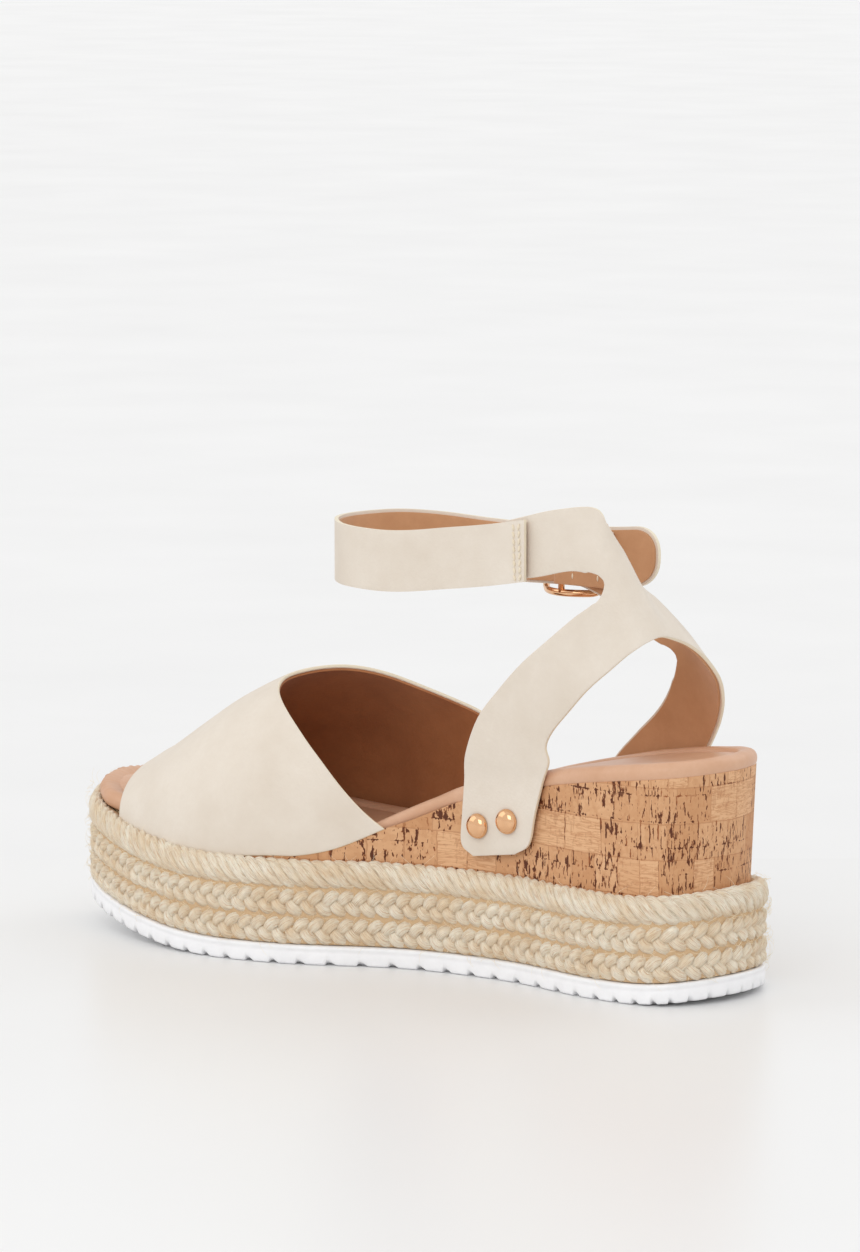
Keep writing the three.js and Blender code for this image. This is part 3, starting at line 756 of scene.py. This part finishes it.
# the roll's section: inset, height
rimProfile = [
    (1.8, 0.1), (0.25, -0.3), (-0.35, 0.9), (-0.3, 2.5), (0.5, 3.8), (2.0, 4.55), (3.7, 4.5),
    (4.9, 3.9), (5.6, 2.8), (5.2, 1.2), (3.2, 0.4),
]


def makeRim():
    bm = bmesh.new()
    profile = [Vector((inset, height, 0)) for inset, height in rimProfile]

    def surface(u, v):
        u %= 1
        foot = planPoint(u, 0)
        spot = spline(profile, (v % 1) * len(profile), True)
        fromToe = min(u, 1 - u)
        toe = 1 - smoothStep(fromToe, 0.045, 0.085)
        wave = math.sin(2 * math.pi * footbed["pleats"] * u * 6 + 2.2 * math.sin(u * 190))
        wave *= footbed["pleatDepth"] * toe * max(0, math.sin(math.pi * min(1, max(0, spot.y / 5))))
        flatter = toe * smoothStep(spot.x, 1.5, 5.5)
        point = planPoint(u, spot.x + bedInset(foot.x) - wave * 0.5 + 2.5 * flatter)
        sag = 0.12 * noise.noise(Vector((u * 60, 0.3, 0)))
        height = spot.y * (1 - 0.16 * toe) - 0.5 * flatter
        return Vector((point.x, point.y, bed(point.x) + height + wave + sag))

    gridInto(bm, footbed["rimColumns"], footbed["rimRows"], surface)
    weld(bm)
    piece = finishMesh("footbedRoll", bm, "footbed", replaced=["footbed_rim"],
                       recalc=True)


def makePad():
    bm = bmesh.new()
    width = footbed["rimWidth"] - footbed["cover"]

    def surface(u, v):
        reach = sole["length"] / 2 - sole["corkInset"] - width - 0.6
        x = -math.cos(math.pi * u) * reach
        inset = bedInset(x) + width
        low, high = planEdge(x, inset, False), planEdge(x, inset, True)
        y = low + (high - low) * v
        edge = min(y - low, high - y, (reach - abs(x)) * 1.4 + 0.1)
        crown = footbed["crown"] * (1 - math.exp(-max(edge, 0) / 2.6))
        cup = footbed["heelCup"] * math.exp(-((x - 85) / 22) ** 2 - ((y - 4) / 15) ** 2)
        ball = footbed["ballDip"] * math.exp(-((x + 55) / 25) ** 2 - (y / 25) ** 2)
        crease = 0.1 * noise.noise(Vector((x * 0.12, y * 0.3, 5)))
        return Vector((x, y, bed(x) + footbed["padHeight"] + crown - cup - ball + crease))

    gridInto(bm, 200, 44, surface)
    weld(bm)
    piece = finishMesh("footbedPad", bm, "footbed",
                       replaced=["sock_lining", "footbed_foam"])
    thicken(piece, footbed["cover"], -1)


makeRim()
makePad()
print("footbed made")


# vamp
vamp = {"height": 49.7, "columns": 84, "rows": 120, "below": 1.6, "border": 0.8, "leather": 1.15,
        "lining": 0.7}
# height along the middle, as a share of the vamp's
crown = [
    (-110, 0.1), (-101, 0.32), (-89, 0.49), (-83, 0.56), (-70, 0.735), (-58, 0.885),
    (-40, 1.045), (-26, 1.095), (-10, 1.09), (10, 1.04), (30, 0.96),
]
# both free edges, from the inner side over the foot to the outer: degrees, x
peepEdge = [(0, -90.5), (45, -92.5), (90, -96), (135, -92.5), (180, -90.5)]
throatEdge = [
    (-15, 16), (0, 7), (30, -12), (60, -36.5), (80, -44.6), (92, -43.5), (105, -36), (120, -20.5),
    (135, 2), (150, 11.5), (180, 19), (195, 24),
]


def vampSurface(u, v):
    degrees = 180 * v
    x = (graph(peepEdge, degrees) * (1 - u) + graph(throatEdge, degrees) * u) * lengthScale
    inner = planEdge(x, sole["vampInset"], False)
    outer = planEdge(x, sole["vampInset"], True)
    lasted = vamp["below"] * (1 - smoothStep(x, -45, -20))
    foot = bed(x) + 0.5 - lasted * (1 - math.sin(math.pi * v)) ** 4
    top = bedFloor + vamp["height"] * graph(crown, x / lengthScale)
    angle = math.pi * v
    return Vector((x, (inner + outer) / 2 - (outer - inner) / 2 * math.cos(angle),
                   foot + (top - foot) * math.sin(angle)))


def drawIn(bm, border):
    # the lining stops a little inside the edge of the face leather
    rim = {vert for vert in bm.verts if vert.is_boundary}
    moves = []
    for vert in rim:
        around = [edge.other_vert(vert) for edge in vert.link_edges]
        inside = [other.co for other in around if other not in rim]
        if not inside:
            inside = [face.calc_center_median() for face in vert.link_faces]
        aim = sum(inside, Vector()) / len(inside) - vert.co
        moves.append((vert, aim.normalized() * min(border * mm, aim.length * 0.8)))
    for vert, move in moves:
        vert.co += move


def pushAlong(bm, distance):
    bm.normal_update()
    moves = [(vert, vert.normal.copy()) for vert in bm.verts]
    for vert, way in moves:
        vert.co += way * distance * mm


def makeVamp():
    bm = bmesh.new()
    gridInto(bm, vamp["columns"], vamp["rows"], vampSurface)
    piece = finishMesh("vampLeather", bm, "cream", replaced=["vamp_outer"],
                       extra=["edge"])
    thicken(piece, vamp["leather"], -1, 0.4, 1)
    bm = bmesh.new()
    gridInto(bm, vamp["columns"], vamp["rows"], vampSurface)
    drawIn(bm, vamp["border"])
    pushAlong(bm, -vamp["leather"])
    piece = finishMesh("vampInside", bm, "brown", replaced=["vamp_lining"])
    thicken(piece, vamp["lining"], -1, 0.25)


makeVamp()
print("vamp made")


# heel quarter
quarter = {"perStation": 6, "rows": 16, "leather": 1.15, "lining": 0.7, "border": 0.9, "layers": 2.0,
           "rootReach": 6.5, "rootTurns": 14, "edgeTurns": 3}


def innerWall(x):
    return planEdge(x * lengthScale, sole["corkInset"], False) - quarter["layers"] - sole["gap"] - 0.1


def outerWall(x):
    return planEdge(x * lengthScale, sole["corkInset"], True) + quarter["layers"] + sole["gap"] + 0.2


def onInner(x, z):
    return (x, innerWall(x), z)


def onOuter(x, z):
    return (x, outerWall(x), z)


def rail(points):
    return [Vector((x * lengthScale, y, z)) for x, y, z in points]


# the band's two edges, from the inner limb's foot up, round the heel and down the outer limb
frontRail = rail([
    onInner(37, 35.6), onInner(32.8, 39), onInner(33, 47.3), onInner(33.8, 57.6),
    (35.6, -21, 66), (41, -22, 77.1), (49, -22.5, 86), (58, -22.9, 94.6),
    (67.5, -23, 102), (77, -22.5, 109.4), (84.5, -22, 114.7), (87.3, -21.4, 120),
    (87.8, -20.3, 130), (88.5, -16, 132), (89.7, -8, 119.6), (90, 0, 114),
    (89.8, 10, 106.7), (88.3, 20, 99.5), (82, 26, 98), (76.3, 28.6, 94),
    (72.3, 30, 84), (66.5, 31.4, 76.4), (57, 32.8, 68), onOuter(48.5, 59),
    onOuter(47, 50), onOuter(46.8, 41), onOuter(50.5, 36.8),
])
rearRail = rail([
    onInner(52.7, 37.7), onInner(58.4, 41.3), onInner(60.9, 50.3), (63.9, -20.4, 60.1),
    (66.6, -21, 66.2), (65.8, -21.4, 70.8), (68.6, -21.8, 75.6), (74.5, -22.2, 81.6),
    (82, -22.4, 89), (89.5, -21.6, 95.2), (94.5, -20.4, 99.5), (97.9, -18.4, 102.3),
    (99.8, -15.4, 104), (101, -11.5, 105), (101.3, -6, 104), (101.1, 2, 101.2),
    (100.7, 10, 96.5), (99.2, 18.5, 89.5), (96, 24.5, 82.3), (91.5, 29, 75.5),
    (87, 32, 70), (83.6, 33.4, 65.4), onOuter(80.8, 60), onOuter(78, 54),
    onOuter(75.5, 48), onOuter(72.6, 41.5), onOuter(66.8, 37.4),
])
# the tongue that the ankle strap is sewn to
tongueLow = rail([
    (86.2, -21.7, 121.2), (84.2, -22, 122), (76, -22, 122.8), (62.5, -22, 119.9), (51, -21.5, 118.2),
])
tongueHigh = rail([
    (87, -20, 138.2), (82.2, -21, 141.6), (69.5, -22, 140), (58, -22, 137.2), (51, -21.5, 135.4),
])
tabLow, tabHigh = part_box("buckle_tab")
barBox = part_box("buckle_frame")
barX = (barBox[0].x + barBox[1].x) / 2 / mm
barY = (tabLow.y + tabHigh.y) / 2 / mm
barZ = (barBox[0].z + barBox[1].z) / 2 / mm
# the tongue that carries the buckle's tab
outerTongueHigh = rail([
    (78, 28, 98.6), (71, 30, 101), (64.5, 30.8, 105.5), (57.5, 31, 111.5), (49.5, 31, 119),
    (barX + 10.9, barY + 1, 125.6), (barX + 3.9, barY + 1, 126.9),
])
outerTongueLow = rail([
    (74, 29, 94.6), (68.5, 30.1, 95.8), (61.5, 30.8, 98.6), (54.5, 31, 102.8), (47.5, 31, 107),
    (barX + 8.9, barY + 1, 109.9), (barX + 3.9, barY + 1, 110.9),
])


def bandSurface(u, v):
    station = u * (len(frontRail) - 1)
    return spline(frontRail, station).lerp(spline(rearRail, station), v)


# where each tongue leaves the front rail, its two edges and its columns
tongues = [
    (11, 13, tongueLow, tongueHigh, 30),
    (17.5, 19 + 1 / 6, outerTongueHigh, outerTongueLow, 40),
]


def quarterSheet():
    bm = bmesh.new()
    per = quarter["perStation"]
    gridInto(bm, (len(frontRail) - 1) * per, quarter["rows"], bandSurface)
    roots = []
    for first, last, lowRail, highRail, columns in tongues:
        rows = round((last - first) * per)

        def tongue(u, v, first=first, last=last, lowRail=lowRail, highRail=highRail):
            root = spline(frontRail, first + (last - first) * v)
            if u < 1e-6:
                return root
            low = [spline(frontRail, first)] + lowRail
            high = [spline(frontRail, last)] + highRail
            station = u * (len(low) - 1)
            ruled = spline(low, station).lerp(spline(high, station), v)
            straight = spline(frontRail, first).lerp(spline(frontRail, last), v)
            return ruled + (root - straight) * max(0, 1 - station) ** 2

        made = gridInto(bm, columns, rows, tongue)
        roots += [place(spline(frontRail, first + (last - first) * k / rows)) for k in range(rows + 1)]
    weld(bm, 0.00004)
    bmesh.ops.recalc_face_normals(bm, faces=bm.faces[:])
    # the tongues run smoothly into the band
    reach = quarter["rootReach"] * mm
    near = [vert for vert in bm.verts if min((vert.co - root).length for root in roots) < reach]
    inside = [vert for vert in near if not vert.is_boundary]
    for turn in range(quarter["rootTurns"]):
        soft = near if turn < quarter["edgeTurns"] else inside
        bmesh.ops.smooth_vert(bm, verts=soft, factor=0.5, use_axis_x=True, use_axis_y=True, use_axis_z=True)
    # on the inner limb the sheet's front looks into the foot, to +y
    bm.normal_update()
    limb = Vector((0.045, -0.02, 0.05))
    probe = min(bm.faces, key=lambda face: (face.calc_center_median() - limb).length)
    if probe.normal.y < 0:
        bmesh.ops.reverse_faces(bm, faces=bm.faces[:])
    return bm


def makeQuarter():
    piece = finishMesh("quarterLeather", quarterSheet(), "cream",
                       replaced=["quarter_outer"], extra=["edge"])
    thicken(piece, quarter["leather"], 1, 0.4, 1)
    bm = quarterSheet()
    drawIn(bm, quarter["border"])
    pushAlong(bm, quarter["leather"])
    piece = finishMesh("quarterInside", bm, "tan", replaced=["quarter_lining"])
    thicken(piece, quarter["lining"], 1, 0.25)


makeQuarter()
print("quarter made")


# ankle strap
strap = {"width": 18.0, "tip": 9.0, "leather": 1.15, "lining": 0.75, "border": 0.9, "hole": 1.15,
         "liningHole": 1.45, "holeSpacing": 11.0, "slotStretch": 2.4, "columns": 240, "tipColumns": 36,
         "buckleY": 33.5, "prongShift": 2.8, "climb": 1.2}
# from the seam on the inner tongue, round the ankle's front, to the tip past the buckle
strapRoute = rail([
    (60.5, -23.4, 127.7), (46, -23.6, 125.3), (30, -23.6, 123), (16, -23, 121.3), (2, -22, 120.4),
    (-12.5, -18.4, 120.6), (-23.1, -8.8, 120.9), (-27, 4.5, 121), (-23.1, 17.8, 121),
    (-12.5, 27.4, 120), (2, 31.4, 118.8), (13, 33, 118.4), (21, strap["buckleY"], 118.6),
    (barX, strap["buckleY"], barZ), (44, 33.4, 119.2), (56, 33.2, 120.2), (64.5, 33, 121),
])


def evenly(points, steps=1600):
    # gives a function from distance along the route to its place, and the whole length
    last = len(points) - 1
    dense = [spline(points, last * k / steps) for k in range(steps + 1)]
    walked = [0.0]
    for k in range(1, len(dense)):
        walked.append(walked[-1] + (dense[k] - dense[k - 1]).length)
    total = walked[-1]

    def at(distance):
        goal = min(max(distance, 0), total)
        low, high = 0, len(walked) - 1
        while high - low > 1:
            middle = (low + high) // 2
            if walked[middle] <= goal:
                low = middle
            else:
                high = middle
        share = (goal - walked[low]) / (walked[high] - walked[low])
        return dense[low].lerp(dense[high], share)
    return at, total


def strapSheet(border=0.0):
    bm = bmesh.new()
    at, total = evenly(strapRoute)
    body, tip = strap["columns"], strap["tipColumns"]
    radius = strap["tip"] - border

    def surface(u, v):
        k = round(u * (body + tip))
        if k <= body:
            distance = border + (total - strap["tip"] - border) * k / body
            half = strap["width"] / 2 - border
        else:
            angle = math.pi / 2 * (k - body) / tip
            distance = total - strap["tip"] + radius * math.sin(angle)
            half = (strap["width"] / 2 - border) * math.cos(angle) ** 0.8
        point = at(distance)
        ripple = 0.25 * noise.noise(Vector((distance * 0.05, 2, 0)))
        return Vector((point.x, point.y, point.z + ripple + half * (1 - 2 * v)))

    gridInto(bm, body + tip, 12, surface)
    weld(bm)
    return bm


def punch(piece, spots, radius):
    bm = bmesh.new()
    for (x, y, z), stretch in spots:
        turn = Matrix.Rotation(math.pi / 2, 4, "X")
        long = Matrix.Diagonal((stretch, 1, 1, 1))
        bmesh.ops.create_cone(bm, cap_ends=True, segments=24, radius1=radius * mm, radius2=radius * mm,
                              depth=0.008, matrix=Matrix.Translation(place((x, y, z))) @ long @ turn)
    mesh = bpy.data.meshes.new("punch")
    bm.to_mesh(mesh)
    bm.free()
    cutter = bpy.data.objects.new("punch", mesh)
    bpy.context.collection.objects.link(cutter)
    cut = piece.modifiers.new("holes", "BOOLEAN")
    cut.operation = "DIFFERENCE"
    cut.solver = "EXACT"
    cut.object = cutter
    applyAll(piece)
    bpy.data.objects.remove(cutter)


def finishStrap(piece, holes, radius, edge):
    punch(piece, holes, radius)
    roundEdge(piece, edge)
    for face in piece.data.polygons:
        face.use_smooth = True


def makeStrap():
    prongX = barX - strap["prongShift"]
    holes = []
    for k in (-3, -2, -1, 1):
        spot = (prongX + k * strap["holeSpacing"], strap["buckleY"], barZ + max(0, k) * strap["climb"])
        holes.append((spot, 1.0))
    holes.append(((prongX, strap["buckleY"], barZ), strap["slotStretch"]))
    piece = finishMesh("strapLeather", strapSheet(), "cream",
                       replaced=["ankle_strap_outer"], extra=["edge"])
    thicken(piece, strap["leather"], 1, edgeSlot=1)
    finishStrap(piece, holes, strap["hole"], 0.35)
    piece = finishMesh("strapInside", strapSheet(strap["border"]), "tan",
                       replaced=["ankle_strap_lining"])
    thicken(piece, strap["lining"], -1)
    finishStrap(piece, holes, strap["liningHole"], 0.2)


makeStrap()


seam = {"rows": (58.9, 56.9), "count": 8, "middle": 127.2, "pitch": 2.08, "y": -24.75,
        "length": 2.0, "thickness": 0.8}


def makeStitches():
    bm = bmesh.new()
    for x, lean in zip(seam["rows"], (0.22, -0.22)):
        for k in range(seam["count"]):
            fromMiddle = k - (seam["count"] - 1) / 2
            z = seam["middle"] + (x - seam["rows"][0]) * 0.15 + fromMiddle * seam["pitch"]
            spot = (x * lengthScale - fromMiddle * 0.08, seam["y"], z)
            beadInto(bm, spot, Vector((lean, 0, 1)), seam["length"], seam["thickness"])
    finishMesh("seamStitches", bm, "thread",
               replaced=["seam_stitch_rear", "seam_stitch_front"])


makeStitches()
print("ankle strap made")


# studs
# head, shank and clenched end, from the crown down: radius, height
studProfile = [
    (0, 0), (0.9, -0.03), (1.9, -0.2), (2.7, -0.55), (3.3, -1.1), (3.6, -1.65), (3.75, -2.1),
    (3.72, -2.35), (3.3, -2.42), (1.0, -2.42), (1.0, -12.5), (0.6, -13.3), (0, -13.4),
]


def makeStud(node):
    low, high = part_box(node)
    centre = (low + high) / 2
    outward = -1 if centre.y < 0 else 1
    face = low.y if outward < 0 else high.y
    bm = bmesh.new()
    chain = [bm.verts.new((radius * mm, 0, height * mm)) for radius, height in studProfile]
    edges = [bm.edges.new(pair) for pair in zip(chain, chain[1:])]
    bmesh.ops.spin(bm, geom=chain + edges, cent=(0, 0, 0), axis=(0, 0, 1), angle=2 * math.pi,
                   steps=40, use_merge=True)
    weld(bm)
    turn = Matrix.Rotation(math.pi / 2 * -outward, 4, "X")
    seat = Matrix.Translation((centre.x, face, centre.z))
    bmesh.ops.transform(bm, verts=bm.verts[:], matrix=seat @ turn)
    name = node.replace("_", " ").title().replace(" ", "")
    finishMesh("dome" + name, bm, "metal", replaced=[node], recalc=True)


for node in ("inner_front_stud", "inner_rear_stud", "outer_front_stud", "outer_rear_stud"):
    makeStud(node)
print("studs made")


# buckle
buckle = {"wire": 1.1, "arch": 7.0, "corner": 3.4, "bar": 1.0, "eye": 1.95, "eyeWire": 0.68, "prong": 0.9}
# the prong's route from the bar, in x and y
prongRoute = [(-1.2, 1.5), (-2.7, 3.2), (-4.4, 5.8), (-8, 8.9), (-11.6, 9.6), (-14.8, 9.3)]


def makeBuckle():
    low, high = barBox
    halfX = (high.x - low.x) / 2 / mm - buckle["wire"]
    halfZ = (high.z - low.z) / 2 / mm - buckle["wire"]
    corner = buckle["corner"]
    path = []
    for sideX, sideZ, start in ((1, 1, 0), (-1, 1, 90), (-1, -1, 180), (1, -1, 270)):
        for k in range(9):
            angle = math.radians(start + 90 * k / 8)
            path.append(((halfX - corner) * sideX + corner * math.cos(angle),
                         (halfZ - corner) * sideZ + corner * math.sin(angle)))
    dense = []
    for k, (x, z) in enumerate(path):
        nextX, nextZ = path[(k + 1) % len(path)]
        pieces = max(1, round(math.hypot(nextX - x, nextZ - z) / 0.8))
        dense += [(x + (nextX - x) * i / pieces, z + (nextZ - z) * i / pieces) for i in range(pieces)]
    route = [Vector((barX + x, barY + buckle["arch"] * (x / halfX) ** 2, barZ + z)) for x, z in dense]
    bm = bmesh.new()
    tubeInto(bm, route, buckle["wire"], 16, closed=True, flat=0.9,
             outward=[Vector((0, 1, 0))] * len(route))
    bar = buckle["bar"] * mm
    bmesh.ops.create_cone(bm, cap_ends=True, segments=24, radius1=bar, radius2=bar, depth=2 * halfZ * mm,
                          matrix=Matrix.Translation(place((barX, barY, barZ))))
    weld(bm, 0.000002)
    finishMesh("buckleFrame", bm, "metal", body="buckle", replaced=["buckle_frame"],
               recalc=True)


def makeProng():
    bm = bmesh.new()
    eye = []
    for k in range(36):
        angle = 2 * math.pi * k / 36
        eye.append(Vector((barX + buckle["eye"] * math.cos(angle),
                           barY + buckle["eye"] * math.sin(angle), barZ)))
    tubeInto(bm, eye, buckle["eyeWire"], 12, closed=True)
    knots = [Vector((barX + x, barY + y, barZ)) for x, y in prongRoute]
    path = [spline(knots, 5 * k / 50) for k in range(51)]

    def radius(share):
        # the tip is rounded over its last tenth
        return buckle["prong"] - 0.35 * (max(0, share - 0.9) / 0.1) ** 2

    tubeInto(bm, path, radius, 12)
    finishMesh("bucklePin", bm, "metal", body="prong", replaced=["buckle_prong"],
               recalc=True)


tab = {"leather": 0.95, "tail": 18, "steps": 14, "stitchRows": (6, 15.5), "stitches": 6, "pitch": 2.15,
       "slotHalf": 1.6, "slotEnd": 3.6}


def makeTab():
    low, high = tabLow / mm, tabHigh / mm
    radius = (high.y - low.y) / 2 - 0.5
    height = high.z - low.z
    tail, steps = tab["tail"], tab["steps"]
    # along the inner layer to the bar, round it, and back along the outer layer
    bend = [(barX + tail - tail * k / steps, barY - radius) for k in range(steps)]
    for k in range(steps + 1):
        angle = math.pi * k / steps
        bend.append((barX - radius * math.sin(angle), barY - radius * math.cos(angle)))
    bend += [(barX + tail * k / steps, barY + radius) for k in range(1, steps + 1)]
    bm = bmesh.new()
    last = len(bend) - 1

    def surface(u, v):
        x, y = bend[round(u * last)]
        return Vector((x, y, barZ + height * (0.5 - v)))

    gridInto(bm, last, 33, surface)
    # the prong turns in a slot across the fold
    slot = []
    for face in bm.faces:
        middle = face.calc_center_median() / mm
        if abs(middle.z - barZ) < tab["slotHalf"] and middle.x < barX + tab["slotEnd"]:
            slot.append(face)
    bmesh.ops.delete(bm, geom=slot, context="FACES")
    bmesh.ops.delete(bm, geom=[vert for vert in bm.verts if not vert.link_faces], context="VERTS")
    piece = finishMesh("tabFold", bm, "cream", replaced=["buckle_tab"],
                       extra=["edge", "tan"])
    for face in piece.data.polygons:
        if face.center.y < barY * mm:
            face.material_index = 2
    thicken(piece, tab["leather"], 0, 0.25)
    bm = bmesh.new()
    for row in tab["stitchRows"]:
        for k in range(tab["stitches"]):
            for y in (barY + radius + 0.5, barY - radius - 0.5):
                spot = (barX + row, y, barZ - 5.4 + tab["pitch"] * k)
                beadInto(bm, spot, Vector((0, 0, 1)), 1.8, 0.55)
    finishMesh("tabStitches", bm, "thread")


makeBuckle()
makeProng()
makeTab()
print("buckle made")


# hidden cores keep their shape and get their own finish
for node, kind in (("platform_core", "foam"), ("wedge_core", "foam"), ("insole_board", "board")):
    core = nodes[node]
    for slotIndex in range(len(core.material_slots)):
        core.material_slots[slotIndex].material = finishes[kind]


# floor and light
stage = {"reach": 12.0, "back": 0.17, "table": srgb(238, 238, 238), "tableSoft": srgb(235, 235, 235),
         "wall": srgb(150, 150, 150), "wallGlow": 0.42, "world": 0.885}
# name, place, size, power, colour
lights = [
    ("keyLight", (0.9, -2.0, 1.5), 1.5, 13, (1.0, 0.99, 0.975)),
    ("fillLight", (-1.7, -1.2, 1.4), 1.8, 6, (1.0, 0.995, 0.99)),
    ("backLight", (0.6, 1.9, 1.6), 1.6, 6, (0.98, 0.99, 1.0)),
]
lightAim = Vector((0, 0, 0.07))


def makeStage():
    material, shader = newFinish("paleFloor", 0.3, specular=0.35)
    # beyond a line a hand's width behind the sandal the floor turns into a paler backdrop
    across = coordinates(material, turn=(0, 0, -math.radians(view["azimuth"])))
    parts = add(material, "SeparateXYZ")
    link(material, across, parts.inputs["Vector"])
    beyond = add(material, "Math", {"operation": "GREATER_THAN"})
    link(material, parts.outputs["Y"], beyond.inputs[0])
    beyond.inputs[1].default_value = stage["back"]
    grain = noiseAt(material, coordinates(material), 9, 3)
    table = mix(material, grain, stage["table"], stage["tableSoft"])
    link(material, mix(material, beyond.outputs[0], table, stage["wall"]), shader.inputs["Base Color"])
    shader.inputs["Emission Color"].default_value = (1, 1, 1, 1)
    glow = add(material, "MapRange", **{"To Min": 0.0, "To Max": stage["wallGlow"]})
    link(material, beyond.outputs[0], glow.inputs["Value"])
    link(material, glow.outputs["Result"], shader.inputs["Emission Strength"])
    rough(material, shader, grain, 0.26, 0.36)
    bm = bmesh.new()
    bmesh.ops.create_grid(bm, x_segments=2, y_segments=2, size=stage["reach"])
    mesh = bpy.data.meshes.new("floor")
    bm.to_mesh(mesh)
    bm.free()
    floor = bpy.data.objects.new("floor", mesh)
    mesh.materials.append(material)
    bpy.context.collection.objects.link(floor)


def makeLights():
    for name, spot, size, power, colour in lights:
        data = bpy.data.lights.new(name, "AREA")
        data.energy = power
        data.size = size
        data.color = colour
        light = bpy.data.objects.new(name, data)
        light.location = spot
        light.rotation_euler = (Vector(spot) - lightAim).to_track_quat("Z", "Y").to_euler()
        bpy.context.collection.objects.link(light)
    world = bpy.data.worlds.new("studio")
    world.use_nodes = True
    background = world.node_tree.nodes["Background"]
    background.inputs["Color"].default_value = (1, 1, 0.997, 1)
    background.inputs["Strength"].default_value = stage["world"]
    bpy.context.scene.world = world
    bpy.context.scene.view_settings.view_transform = "Standard"


makeStage()
makeLights()
print("stage made")
